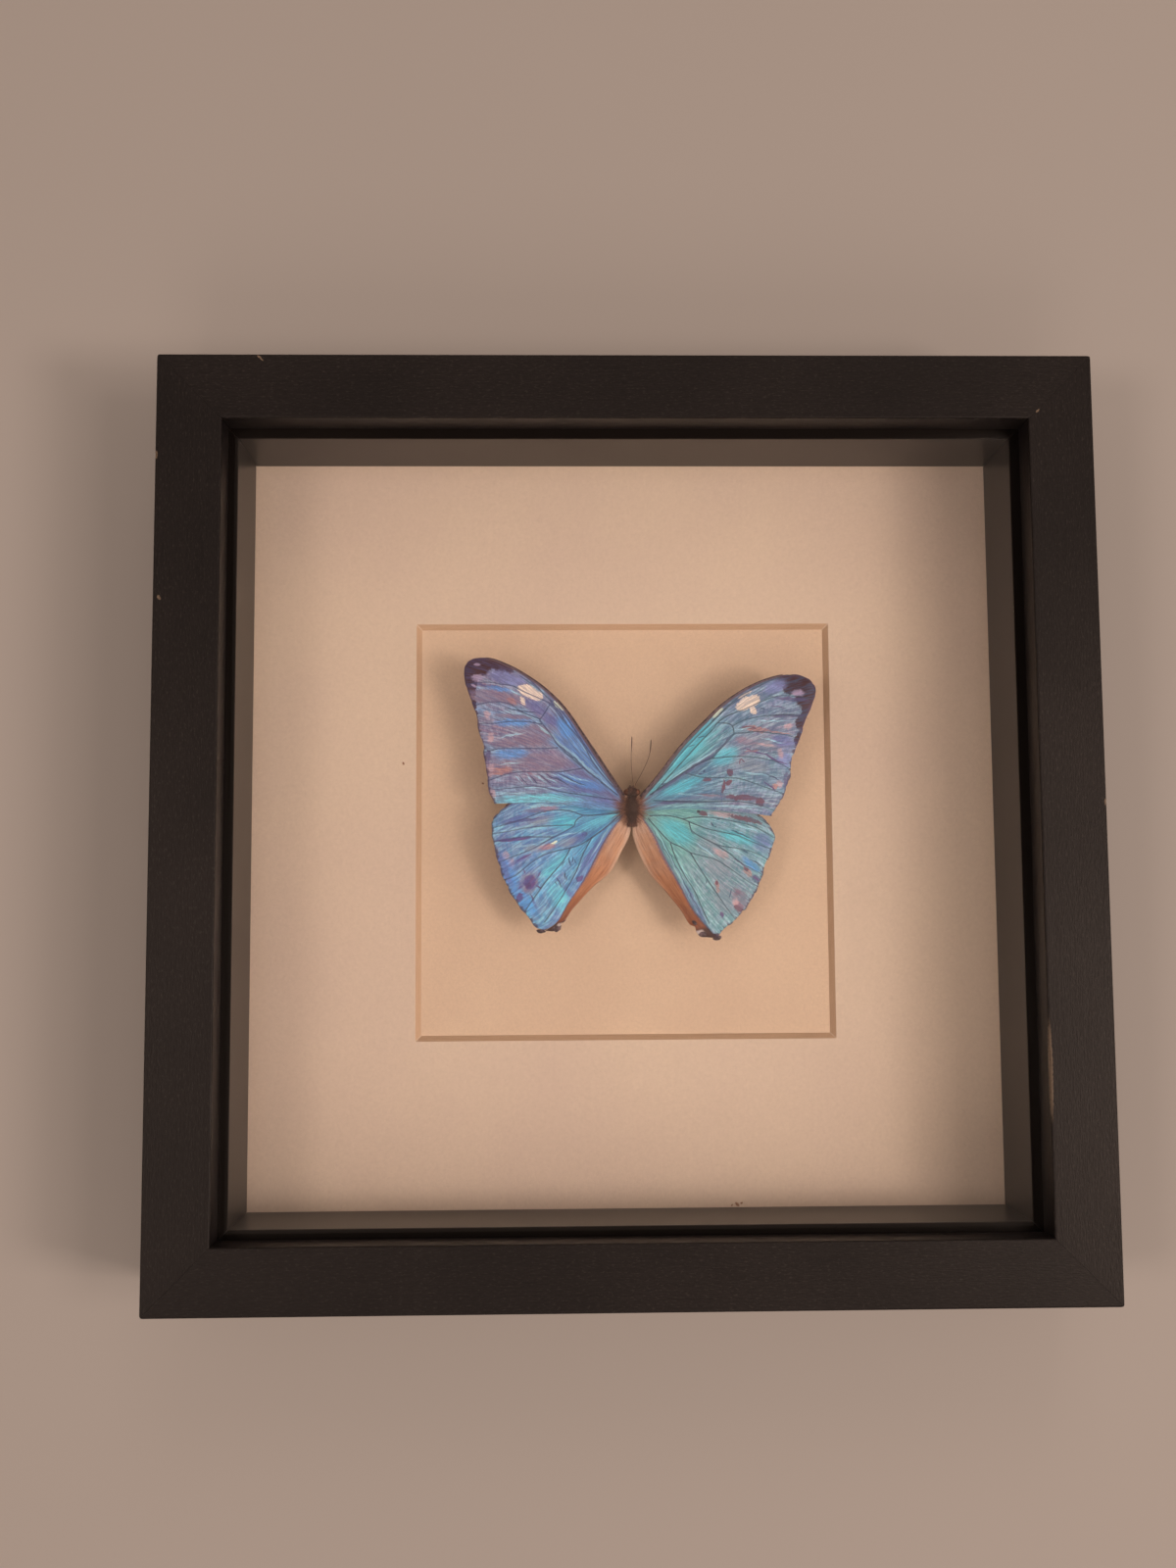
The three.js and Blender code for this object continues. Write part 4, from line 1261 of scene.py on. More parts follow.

# Deep and light are a wing's darkest and lightest scales; light is also the colour of the painted
# highlights along the folds and beside the veins. A wing's ramps run from the front edge (0) to
# the rear edge (1), one for the root half and one for the margin half. Besides their own markings,
# the left wings are painted bluer and the right ones more teal: a painted change of the blue sheen
# with the side the light falls from.
# Spots are ovals: kind, middle, half sizes, turn in degrees. Rays are lines: kind, ends, half width.
PAINT = {
    "forewing_left": {
        "deep": (72, 70, 108), "light": (152, 184, 208),
        "root": stops((0, (92, 94, 133)), (0.1, (87, 131, 177)), (0.28, (81, 125, 177)),
                      (0.4, (100, 144, 188)), (0.48, (110, 104, 141)), (0.6, (108, 100, 141)),
                      (0.74, (94, 100, 152)), (0.86, (96, 127, 171)), (1, (92, 154, 186))),
        "outer": stops((0, (118, 102, 124)), (0.14, (132, 112, 134)), (0.24, (146, 102, 109)),
                       (0.29, (113, 147, 177)), (0.37, (127, 106, 126)), (0.42, (109, 149, 180)),
                       (0.49, (151, 104, 109)), (0.62, (132, 110, 128)), (0.66, (123, 143, 162)),
                       (0.74, (153, 106, 110)), (0.84, (132, 106, 126)), (0.92, (116, 139, 162)),
                       (1, (118, 171, 186))),
        "spots": [
            ("tip", (-42.8, 40.0), (4.6, 3.0), 12), ("tip", (-36.8, 40.2), (4.4, 1.5), -24),
            ("tip", (-45.0, 36.2), (2.4, 4.0), -4), ("tip", (-44.6, 32.6), (1.5, 2.8), -14),
            ("tip", (-43.8, 29.0), (0.9, 1.7), -14), ("tip", (-43.2, 26.8), (0.5, 1.0), 0),
            ("shadow", (-39.4, 34.5), (3.8, 0.4), -6), ("lilac", (-35.0, 36.6), (4.4, 1.9), -20),
            ("pale", (-42.7, 36.7), (1.8, 1.0), 4), ("pale", (-42.9, 40.6), (0.9, 0.4), 0),
            ("pale", (-43.8, 34.6), (0.8, 0.3), -30), ("lilac", (-30.4, 36.4), (1.6, 0.9), -34),
            ("worn", (-40.0, 31.6), (5.4, 1.9), -6), ("worn", (-34.4, 30.8), (3.6, 1.6), -14),
            ("rust", (-33.4, 30.4), (1.6, 0.7), -30), ("blue", (-36.6, 33.6), (3.6, 0.7), -10),
            ("white", (-28.4, 32.9), (3.3, 1.7), -24), ("white", (-26.6, 32.0), (2.2, 1.4), -30),
            ("white", (-30.2, 30.4), (0.65, 1.3), 20), ("cream", (-20.2, 28.8), (1.9, 0.65), -42),
            ("violet", (-26.4, 28.4), (3.4, 1.6), -36), ("violet", (-22.4, 24.8), (2.2, 1.2), -30),
            ("blush", (-40.1, 26.6), (1.0, 0.9), 0), ("blush", (-39.2, 20.0), (0.9, 1.3), 0),
            ("blush", (-39.2, 11.0), (1.2, 1.5), 0), ("blush", (-38.8, 4.6), (0.9, 1.4), 10),
            ("blue", (-18.4, 23.0), (3.2, 2.0), -60), ("blue", (-33.0, 24.2), (5.2, 0.9), 2),
            ("worn", (-27.0, 20.6), (5.0, 3.0), 10), ("worn", (-34.6, 18.6), (4.4, 1.2), 4),
            ("worn", (-25.2, 13.2), (7.0, 2.6), -6), ("rust", (-36.0, 10.8), (2.8, 1.0), 6),
            ("blue", (-33.6, 15.6), (4.6, 1.4), 4), ("worn", (-33.0, 25.9), (5.2, 0.5), -4),
            ("blue", (-14.0, 7.6), (7.0, 1.4), -16), ("bright", (-24.0, 3.2), (13.0, 1.2), 2),
            ("shadow", (-39.8, 15.0), (0.7, 1.8), -6), ("rust", (-39.0, 2.6), (0.6, 1.4), 20),
        ],
        "rays": [
            ("glint", (-29.0, 9.9), (-27.4, 7.6), 0.20), ("ink", (-28.2, 9.8), (-26.2, 7.2), 0.15),
            ("glint", (-27.2, 9.8), (-23.3, 7.2), 0.24), ("ink", (-26.2, 9.9), (-21.8, 7.0), 0.17),
            ("glint", (-25.4, 10.0), (-20.4, 7.2), 0.25), ("ink", (-24.0, 10.0), (-17.4, 6.9), 0.21),
            ("glint", (-22.6, 10.1), (-14.2, 7.0), 0.25), ("ink", (-21.0, 10.1), (-12.4, 6.6), 0.21),
            ("glint", (-19.6, 10.1), (-11.6, 7.8), 0.20), ("glint", (-32.4, 9.4), (-30.2, 7.2), 0.17),
            ("ink", (-31.2, 9.4), (-29.0, 7.2), 0.15), ("glint", (-33.0, 6.3), (-17.0, 5.9), 0.18),
            ("violet", (-20.0, 4.2), (-6.0, 2.6), 0.5), ("glint", (-22.6, 20.8), (-5.0, 5.4), 0.3),
            ("glint", (-19.8, 17.2), (-8.2, 7.4), 0.24), ("ink", (-21.4, 19.0), (-7.0, 6.2), 0.2),
            ("glint", (-13.6, 17.6), (-4.4, 5.4), 0.22), ("glint", (-29.6, 36.4), (-22.0, 30.6), 0.3),
            ("glint", (-35.6, 27.2), (-29.7, 26.7), 0.22), ("glint", (-29.7, 26.7), (-25.8, 25.0), 0.26),
            ("glint", (-36.7, 20.0), (-29.8, 21.5), 0.2), ("glint", (-25.4, 23.4), (-22.0, 20.2), 0.3),
            ("glint", (-34.0, 33.6), (-30.6, 31.8), 0.22), ("glint", (-36.6, 12.6), (-31.0, 13.2), 0.2),
            ("ink", (-35.0, 28.2), (-26.0, 27.0), 0.2), ("glint", (-37.0, 4.4), (-28.0, 4.8), 0.24),
        ],
    },
    "hindwing_left": {
        "deep": (60, 80, 134), "light": (150, 202, 216),
        "root": stops((0, (106, 150, 182)), (0.15, (84, 154, 179)), (0.38, (80, 148, 171)),
                      (0.55, (80, 139, 164)), (0.64, (74, 125, 152)), (0.76, (86, 163, 188)),
                      (0.87, (84, 142, 166)), (0.94, (82, 106, 141)), (1, (98, 127, 162))),
        "outer": stops((0, (119, 112, 153)), (0.08, (106, 144, 180)), (0.2, (95, 160, 190)),
                       (0.29, (110, 116, 151)), (0.34, (102, 158, 186)), (0.48, (106, 138, 171)),
                       (0.6, (95, 144, 184)), (0.74, (91, 168, 200)), (0.9, (98, 172, 198)),
                       (1, (98, 130, 171))),
        "spots": [
            ("worn", (-25.0, 0.2), (4.6, 0.8), 8), ("blush", (-22.6, 0.4), (2.4, 0.45), 4),
            ("violet", (-32.0, -2.4), (5.0, 0.9), 14), ("grey", (-25.4, -3.0), (3.4, 1.2), 10),
            ("teal", (-19.0, -3.4), (3.6, 2.0), 0), ("shadow", (-32.0, -7.9), (5.4, 0.45), 5),
            ("rust", (-23.6, -10.2), (2.6, 0.9), 8), ("grey", (-27.6, -10.8), (2.4, 1.0), -4),
            ("ink", (-13.2, -6.4), (1.0, 0.8), 30), ("violet", (-15.4, -8.0), (3.6, 1.5), 32),
            ("grey", (-18.0, -9.0), (3.0, 1.0), 20), ("blush", (-35.0, -12.6), (1.0, 1.2), 20),
            ("blush", (-33.6, -14.8), (0.8, 1.2), 0), ("blue", (-34.6, -17.4), (2.2, 5.4), 24),
            ("violet", (-35.6, -15.6), (1.0, 6.0), 22), ("blue", (-29.6, -25.4), (1.8, 4.6), 40),
            ("violet", (-31.4, -14.2), (3.4, 0.5), 22), ("worn", (-28.6, -20.2), (2.5, 3.0), -14),
            ("purple", (-28.4, -20.0), (1.6, 1.9), -14),
            ("purple", (-31.2, -24.2), (0.9, 1.2), 10), ("shadow", (-28.8, -20.6), (0.8, 1.0), 0),
            ("purple", (-14.5, -19.2), (1.2, 0.7), 30), ("violet", (-11.4, -12.4), (1.0, 6.4), -32),
            ("shadow", (-11.6, -17.0), (0.5, 3.0), -34), ("tip", (-25.3, -33.2), (1.5, 0.5), -6),
            ("bright", (-21.4, -15.0), (4.6, 1.8), 40), ("bright", (-9.6, -3.4), (6.0, 1.1), 24),
            ("bright", (-19.6, -24.6), (2.6, 5.0), 36), ("violet", (-16.8, -24.2), (0.7, 5.4), 36),
        ],
        "rays": [
            ("cream", (-22.5, -9.3), (-20.6, -8.6), 0.28), ("glint", (-20.6, -7.4), (-15.4, -6.2), 0.2),
            ("shadow", (-35.5, -3.7), (-25.0, -2.1), 0.35), ("glint", (-32.4, -10.3), (-26.6, -9.5), 0.3),
            ("purple", (-38.0, -8.5), (-28.0, -7.7), 0.35), ("purple", (-32.2, -14.2), (-27.8, -12.2), 0.3),
            ("glint", (-36.4, -6.2), (-27.0, -3.8), 0.4), ("glint", (-30.0, 1.0), (-20.6, 1.6), 0.3),
            ("ink", (-17.6, -13.0), (-17.0, -15.6), 0.2), ("ink", (-16.3, -12.9), (-16.7, -14.4), 0.18),
            ("ink", (-18.4, -14.0), (-19.6, -15.4), 0.16), ("ink", (-16.0, -13.6), (-15.4, -14.8), 0.14),
            ("ink", (-18.9, -17.2), (-18.5, -19.0), 0.2), ("ink", (-20.9, -18.7), (-20.0, -20.4), 0.18),
            ("ink", (-20.2, -20.0), (-19.9, -21.4), 0.16), ("ink", (-21.4, -19.8), (-20.9, -20.8), 0.14),
            ("ink", (-17.9, -18.0), (-18.3, -19.6), 0.14), ("violet", (-28.0, -24.0), (-26.4, -27.2), 0.4),
            ("glint", (-9.8, -6.6), (-5.0, -3.0), 0.3), ("glint", (-11.2, -12.6), (-6.6, -5.4), 0.24),
            ("ink", (-13.4, -9.6), (-5.0, -3.2), 0.2), ("purple", (-26.4, -18.6), (-25.2, -17.2), 0.2),
            ("purple", (-26.6, -21.0), (-25.0, -21.8), 0.2), ("purple", (-28.2, -23.0), (-27.4, -24.8), 0.2),
            ("purple", (-30.4, -21.0), (-31.6, -21.8), 0.2), ("purple", (-29.4, -17.6), (-29.9, -16.4), 0.2),
        ],
    },
    "forewing_right": {
        "deep": (60, 84, 112), "light": (168, 202, 202),
        "root": stops((0, (96, 108, 113)), (0.08, (108, 160, 161)), (0.24, (92, 164, 165)),
                      (0.34, (96, 156, 163)), (0.40, (102, 102, 128)), (0.48, (86, 119, 138)),
                      (0.66, (86, 140, 160)), (0.78, (84, 132, 153)), (0.85, (96, 95, 128)),
                      (0.91, (106, 144, 149)), (1, (102, 154, 156))),
        "outer": stops((0, (111, 102, 127)), (0.14, (118, 120, 151)), (0.27, (106, 116, 145)),
                       (0.36, (116, 106, 131)), (0.44, (135, 107, 133)), (0.55, (135, 114, 135)),
                       (0.62, (120, 131, 149)), (0.74, (111, 137, 154)), (0.85, (113, 129, 153)),
                       (0.92, (122, 101, 123)), (1, (111, 120, 151))),
        "spots": [
            ("tip", (46.4, 36.0), (6.4, 2.4), 8), ("tip", (49.2, 32.8), (3.4, 5.2), -10),
            ("tip", (44.6, 33.8), (2.3, 2.2), 30), ("tip", (49.2, 28.6), (1.7, 2.9), -18),
            ("tip", (47.4, 24.4), (1.6, 2.6), -24), ("tip", (46.2, 19.4), (1.0, 2.0), -16),
            ("shadow", (44.2, 30.6), (5.0, 0.5), -6), ("shadow", (43.6, 25.9), (4.6, 0.5), 0),
            ("pale", (46.6, 32.2), (1.8, 1.0), -12), ("lilac", (40.2, 34.0), (3.2, 1.7), 22),
            ("white", (32.4, 29.4), (3.4, 1.7), 24), ("white", (34.2, 30.2), (1.9, 1.6), 20),
            ("white", (31.8, 31.8), (2.2, 0.35), 32), ("white", (34.0, 27.4), (0.9, 1.2), 24),
            ("cream", (24.0, 26.8), (1.9, 0.6), 38), ("blush", (43.7, 22.9), (1.0, 0.8), 0),
            ("rust", (34.6, 22.2), (3.6, 0.8), -8), ("brown", (32.6, 22.6), (2.0, 0.5), -4),
            ("grey", (36.0, 18.6), (5.8, 1.8), -10), ("worn", (32.0, 18.8), (3.0, 1.0), -10),
            ("blush", (37.4, 17.8), (2.6, 0.4), -8), ("violet", (42.4, 18.6), (3.4, 2.0), -20),
            ("lilac", (42.6, 13.6), (2.2, 2.2), 30), ("grey", (33.4, 12.0), (4.6, 1.8), -12),
            ("blush", (41.6, 15.4), (0.8, 1.2), 10), ("blush", (41.0, 6.8), (0.9, 1.0), 0),
            ("brown", (27.3, 10.1), (0.75, 1.0), 0), ("brown", (25.4, 6.2), (0.5, 1.7), -10),
            ("brown", (26.8, 7.3), (1.0, 0.6), 30), ("brown", (20.8, 8.1), (1.2, 0.5), 6),
            ("brown", (35.4, 1.8), (1.1, 1.4), 16), ("brown", (30.6, 3.1), (4.6, 0.7), -4),
            ("worn", (22.0, 3.8), (4.0, 0.35), -4), ("teal", (26.0, 14.6), (3.8, 2.2), 30),
            ("teal", (16.4, 17.4), (9.0, 2.2), 48), ("teal", (14.0, 6.4), (5.6, 1.3), 22),
            ("shadow", (42.8, 8.0), (0.6, 2.4), -8), ("rust", (39.6, 6.0), (0.8, 1.0), -40),
            ("ink", (20.0, 10.4), (0.5, 0.3), 50), ("ink", (18.8, 9.6), (0.4, 0.25), 10),
        ],
        "rays": [
            ("shadow", (4.6, 3.6), (23.0, 15.4), 0.45), ("shadow", (22.6, 15.2), (28.4, 20.8), 0.22),
            ("glint", (8.0, 6.6), (24.4, 17.2), 0.2), ("shadow", (6.0, 1.9), (21.5, 1.9), 0.4),
            ("purple", (31.0, 16.7), (36.7, 15.2), 0.22), ("purple", (36.7, 15.2), (43.2, 12.2), 0.26),
            ("rust", (37.0, 21.8), (44.6, 20.7), 0.18), ("rust", (31.2, 15.8), (35.4, 16.2), 0.25),
            ("glint", (28.0, 31.2), (21.0, 25.6), 0.22), ("glint", (34.6, 24.6), (45.0, 24.4), 0.18),
            ("glint", (36.0, 19.8), (42.0, 18.0), 0.18), ("ink", (18.4, 19.6), (20.4, 20.4), 0.14),
            ("ink", (15.8, 17.2), (17.6, 18.0), 0.14), ("ink", (8.0, 6.6), (9.4, 7.4), 0.16),
            ("violet", (24.6, 5.6), (25.0, 0.4), 0.12), ("glint", (22.0, 0.9), (36.0, 0.4), 0.3),
            ("brown", (29.6, 12.4), (30.4, 14.0), 0.2), ("brown", (30.4, 14.0), (31.4, 13.0), 0.2),
            ("purple", (36.6, 7.8), (39.6, 4.8), 0.22), ("glint", (28.6, 22.0), (33.4, 22.6), 0.24),
            ("ink", (37.4, 9.6), (41.0, 7.8), 0.2), ("glint", (30.0, 10.2), (38.0, 9.2), 0.16),
            ("ink", (36.0, 27.8), (37.6, 27.4), 0.16), ("purple", (38.8, 28.6), (43.0, 28.0), 0.16),
        ],
    },
    "hindwing_right": {
        "deep": (60, 104, 116), "light": (176, 208, 196),
        "root": stops((0, (126, 164, 158)), (0.15, (126, 173, 159)), (0.4, (118, 166, 154)),
                      (0.58, (115, 159, 154)), (0.74, (122, 173, 159)), (0.9, (126, 175, 162)),
                      (1, (107, 115, 127))),
        "outer": stops((0, (143, 110, 119)), (0.1, (126, 143, 154)), (0.26, (108, 150, 164)),
                       (0.4, (116, 146, 159)), (0.52, (125, 133, 145)), (0.68, (125, 133, 141)),
                       (0.82, (121, 151, 152)), (0.94, (118, 153, 154)), (1, (104, 125, 143))),
        "spots": [
            ("blush", (26.0, -1.6), (4.6, 0.8), -8), ("brown", (31.4, -2.8), (5.0, 0.7), -14),
            ("brown", (19.6, -1.2), (1.4, 0.7), -12), ("tip", (18.4, -0.8), (0.5, 0.3), -30),
            ("grey", (22.4, -10.0), (3.4, 1.2), -30), ("grey", (23.8, -16.0), (3.4, 2.8), -20),
            ("blush", (24.6, -12.2), (2.2, 0.9), -30), ("grey", (25.6, -24.6), (3.0, 4.6), 20),
            ("rust", (31.8, -17.5), (0.85, 1.7), 34), ("rust", (23.5, -21.4), (0.55, 1.7), 8),
            ("brown", (31.4, -16.6), (0.5, 0.8), 34), ("brown", (23.3, -20.4), (0.4, 0.6), 0),
            ("brown", (29.0, -23.2), (0.9, 0.7), 20), ("brown", (29.2, -26.9), (1.2, 1.7), 26),
            ("worn", (29.6, -24.6), (1.8, 3.0), 30), ("purple", (24.6, -29.2), (0.6, 0.8), 20),
            ("blush", (28.4, -25.6), (1.0, 0.7), 40), ("shadow", (34.0, -19.4), (1.3, 0.8), -40),
            ("violet", (36.0, -9.2), (2.8, 2.4), -20), ("blue", (33.0, -15.6), (3.0, 1.0), -40),
            ("teal", (29.0, -8.0), (5.0, 1.5), -16), ("teal", (12.4, -6.2), (5.0, 2.6), -34),
            ("tip", (23.1, -35.2), (1.3, 0.6), -20), ("violet", (17.2, -26.2), (0.8, 6.4), 29),
        ],
        "rays": [
            ("ink", (21.6, -3.6), (22.6, -4.8), 0.24), ("ink", (22.6, -4.8), (23.4, -5.0), 0.16),
            ("ink", (23.4, -2.9), (24.6, -2.9), 0.14), ("ink", (5.4, -4.6), (20.4, -31.6), 0.14),
            ("ink", (7.4, -6.0), (16.0, -24.6), 0.12), ("glint", (6.6, -5.4), (17.6, -28.0), 0.16),
            ("ink", (16.2, -5.4), (17.0, -7.0), 0.12), ("glint", (17.0, -9.0), (22.4, -12.6), 0.24),
            ("purple", (28.0, -13.6), (31.4, -16.0), 0.2), ("ink", (27.4, -5.8), (33.0, -8.2), 0.2),
            ("glint", (28.6, -4.4), (36.0, -6.6), 0.2), ("ink", (30.4, -12.2), (36.0, -16.0), 0.2),
            ("glint", (27.0, -10.6), (35.0, -14.8), 0.22), ("purple", (33.4, -18.8), (35.0, -20.0), 0.22),
            ("ink", (30.0, -11.4), (32.0, -12.2), 0.24), ("ink", (20.6, -19.6), (20.2, -20.8), 0.16),
            ("ink", (27.2, -22.0), (26.6, -24.6), 0.16), ("glint", (12.2, -12.6), (17.8, -26.0), 0.16),
        ],
    },
}

# The veins too are painted bluer on the left and more teal on the right, as the light falls on each side.
VEIN_DARK = {"left": (50, 54, 86), "right": (46, 62, 78)}
WING_SIZE = {"forewing": (50, 36), "hindwing": (36, 34)}  # rough length and width
FINE_MARK = 0.62  # half the width of a mark that only wavers: wider ones have a ragged edge


def wing_marks(name):
    """Every mark of a wing as an oval: kind, middle, half sizes and turn."""
    yield from PAINT[name]["spots"]
    for kind, start, end, width in PAINT[name]["rays"]:
        run = Vector(end) - Vector(start)
        yield kind, (Vector(start) + Vector(end)) / 2, (run.length / 2, width), math.degrees(
            math.atan2(run.y, run.x))


def wing_scales(name):
    """Metallic scales: two ramps across the wing, marks, streaks along the veins and fine rows."""
    kind, side = name.split("_")
    paint = PAINT[name]
    length, width = WING_SIZE[kind]
    seed = 3.7 * list(WINGS).index(name)
    f = Finish(f"{name}_scales")
    place = f.place(THORAX)
    span, chord, _ = f.parts(f.node("ShaderNodeUVMap", {"uv_map": "wing"}))
    along = f.vector(span * length, chord * width, seed)
    vein, fold = f.attribute("vein"), f.attribute("fold")
    front, margin = f.attribute("front"), f.attribute("margin")
    deep, light = seen(*paint["deep"]), seen(*paint["light"])

    # Soft noises, most of them drawn out from the root to the margin, as the scales lie
    slow = f.noise(place, 0.13, 3)
    broad = f.noise(f.stretch(along, (0.10, 0.6, 1)), 1.0, 3, 0.6).rise(0.36, 0.64)
    streaks = f.noise(f.stretch(along, (0.15, 1.3, 1)), 1.0, 3, 0.62).rise(0.36, 0.64)
    lines = f.noise(f.stretch(along, (0.25, 2.4, 1)), 1.0, 2, 0.6).rise(0.40, 0.60)
    rows = f.noise(f.stretch(along, (1.3, 0.45, 1)), 1.0, 2, 0.6).rise(0.42, 0.58)
    slanted = f.node("ShaderNodeMapping", None, {
        "Vector": along, "Rotation": (0, 0, math.radians(28)), "Scale": (0.3, 2.0, 1)})
    ruffles = f.noise(slanted, 1.0, 3, 0.6).rise(0.42, 0.62)
    dust = f.noise(place, 3.6, 2, 0.6)

    # The two ramps, darker and lighter scales in streaks, rows and ruffles, and painted highlights along
    # folds and veins
    across = chord + (streaks - 0.5) * 0.02
    outward = (span + (slow - 0.5) * 0.5 + (streaks - 0.5) * 0.12).rise(0.34, 0.66)
    colour = f.mix(outward, f.ramp(across, paint["root"]), f.ramp(across, paint["outer"]))
    colour = f.mix((1 - broad) * 0.22, colour, deep)
    colour = f.mix(streaks * broad * 0.24, colour, light)
    between = vein.rise(0.5, 1.8) * outward
    colour = f.mix(between * (1 - streaks) * slow * 0.7, colour, seen(132, 112, 128))
    colour = f.mix(ruffles * outward * 0.34, colour, light)
    colour = f.mix((1 - lines) * 0.36, colour, deep)
    colour = f.mix(rows * (0.06 + outward * 0.22), colour, seen(150, 144, 162))
    colour = f.mix((1 - rows) * (0.06 + outward * 0.2), colour, deep)
    # Painted highlight along the fold ridges.
    colour = f.mix(fold.rise(0.4, 0.1) * (0.05 + lines * 0.3), colour, light)
    # Painted highlight on the membrane beside the veins.
    painted_vein_highlight = vein.rise(0.85, 0.4) * front.rise(1.0, 3.0)
    colour = f.mix(painted_vein_highlight * streaks * 0.2, colour, light)

    # The marks. Wide ones have ragged edges and fine ones only waver
    wavy = f.wander(place, 0.35, 1.2, 2)
    ragged = f.wander(wavy, 1.6, 1.4, 4)
    for mark, centre, radii, turn in wing_marks(name):
        tint, edge, strength, streaky = MARK_KINDS[mark]
        outline = ragged if radii[1] > FINE_MARK else wavy
        reach = f.spot(outline, centre, radii, turn).rise(1 + edge / 2, 1 - edge / 2)
        if streaky:
            reach = reach * (1 - streaky + streaks * streaky)
        colour = f.mix(reach * strength, colour, tint)

    # Fine dark lines over the marks, and the veins, here and there rubbed bare
    colour = f.mix((1 - lines) * 0.42, colour, deep)
    broken = 0.45 + lines * 0.3 + broad * 0.2
    colour = f.mix(vein.rise(0.26, 0.1) * broken, colour, seen(*VEIN_DARK[side]))

    # Brown front edge, dark margin and dusty brown root
    brown = f.mix(dust, seen(64, 44, 48), seen(108, 80, 80))
    reach = front - (1 - span) * (0.6 if kind == "forewing" else 0.0)
    colour = f.mix(reach.rise(0.75, 0.3) * 0.9, colour, brown)
    border = (margin + (streaks - 0.5) * 0.8).rise(0.8, 0.25)
    colour = f.mix(border * 0.8, colour, seen(66, 46, 66))
    from_body = f.node("ShaderNodeVectorMath", {"operation": "LENGTH"}, {0: place}, out="Value")
    root = (from_body + (lines - 0.5) * 2.4 + (streaks - 0.5) * 2.4).rise(6.4, 2.8)
    root_tint = f.mix(lines, seen(84, 50, 44), seen(158, 104, 82))
    colour = f.mix(root * 0.92, colour, root_tint)

    colour = f.shade(colour, 0.93 + dust * 0.72)
    relief = streaks * 0.5 + lines * 0.35 + rows * 0.2 + dust * 0.3
    return f.surface({
        "Base Color": colour, "Metallic": 0.15, "Roughness": 0.42 + dust * 0.16,
        "Specular IOR Level": 0.5, "Sheen Weight": 0.1, "Sheen Roughness": 0.4,
        "Normal": f.bump(relief, 0.12, 0.7)})


def wing_underside():
    """Dull brown, with pale bands, as under every blue wing of this family."""
    f = Finish("wing_underside")
    place = f.place(THORAX)
    bands = f.noise(f.stretch(place, (0.12, 0.12, 0.1)), 1.0, 4)
    dust = f.noise(place, 3.6, 2)
    colour = f.mix(bands.rise(0.4, 0.6), seen(104, 76, 58), seen(156, 124, 96))
    return f.surface({"Base Color": f.shade(colour, 0.85 + dust * 0.3), "Roughness": 0.7,
                      "Normal": f.bump(dust, 0.06, 0.5)})


def trough_scales():
    """Orange-brown scales and flat-lying hairs of the hindwing's inner flap, dark at its rear end."""
    f = Finish("trough_scales")
    place = f.place(THORAX)
    along, across, _ = f.parts(f.node("ShaderNodeUVMap", {"uv_map": "wing"}))
    run = f.vector(along * 38, across * 7, 1.3)
    hairs = f.noise(f.stretch(run, (0.14, 1.5, 1)), 1.0, 3, 0.6).rise(0.36, 0.66)
    clouds = f.noise(place, 0.3, 3).rise(0.38, 0.64)
    dust = f.noise(place, 2.6, 2)
    colour = f.ramp(along + (clouds - 0.5) * 0.12, [
        (0.0, seen(202, 158, 134)), (0.22, seen(194, 142, 112)), (0.5, seen(176, 108, 70)),
        (0.72, seen(160, 88, 52)), (0.86, seen(130, 62, 40)), (1.0, seen(90, 44, 36))])
    colour = f.mix((1 - hairs) * 0.45, colour, seen(132, 80, 58))
    colour = f.mix(clouds * hairs * 0.35, colour, seen(206, 146, 108))
    rim = across.rise(0.8, 0.95) * along.rise(0.7, 0.3)
    colour = f.mix(rim * 0.45, colour, seen(212, 174, 148))
    specks = dust.rise(0.68, 0.74) * along.rise(0.3, 0.5)
    colour = f.mix(specks * 0.6, colour, seen(214, 160, 118))
    seam = (across + (dust - 0.5) * 0.3).rise(0.16, 0.04)
    colour = f.mix(seam * 0.8, colour, seen(96, 88, 116))
    end = (along + (dust - 0.5) * 0.03).rise(0.88, 0.92)
    colour = f.mix(end * 0.9, colour, seen(58, 34, 34))
    notch = along.rise(0.90, 0.915) * along.rise(0.94, 0.925) * across.rise(0.35, 0.6)
    colour = f.mix(notch * 0.85, colour, seen(204, 178, 170))
    return f.surface({"Base Color": f.shade(colour, 0.86 + dust * 0.24),
                      "Roughness": 0.55, "Sheen Weight": 0.2, "Sheen Roughness": 0.4,
                      "Normal": f.bump(hairs * 0.7 + dust * 0.3, 0.15, 0.8)})


def vein_chitin(name, tint, light):
    """A vein's hard skin, between two tones."""
    f = Finish(name)
    place = f.place(THORAX)
    rough = f.noise(place, 1.3, 3)
    colour = f.mix(rough.rise(0.42, 0.62), seen(*tint), seen(*light))
    return f.surface({"Base Color": colour, "Roughness": 0.36 + rough * 0.2,
                      "Normal": f.bump(rough, 0.04, 0.5)})


def add_wings():
    underside = wing_underside()
    flap = trough_scales()
    # Left and right tones differ by painted light: bluer on the left, more teal on the right.
    veins = {"left": vein_chitin("vein_left", (46, 48, 78), (86, 104, 140)),
             "right": vein_chitin("vein_right", (42, 54, 70), (78, 104, 116))}
    edge = vein_chitin("front_edge", (58, 40, 44), (106, 80, 82))
    for name in WINGS:
        kind, side = name.split("_")
        add_wing(name, wing_scales(name), underside, veins[side], edge,
                 flap if kind == "hindwing" else None)


# ---------------------------------------------------------------- body and antennae

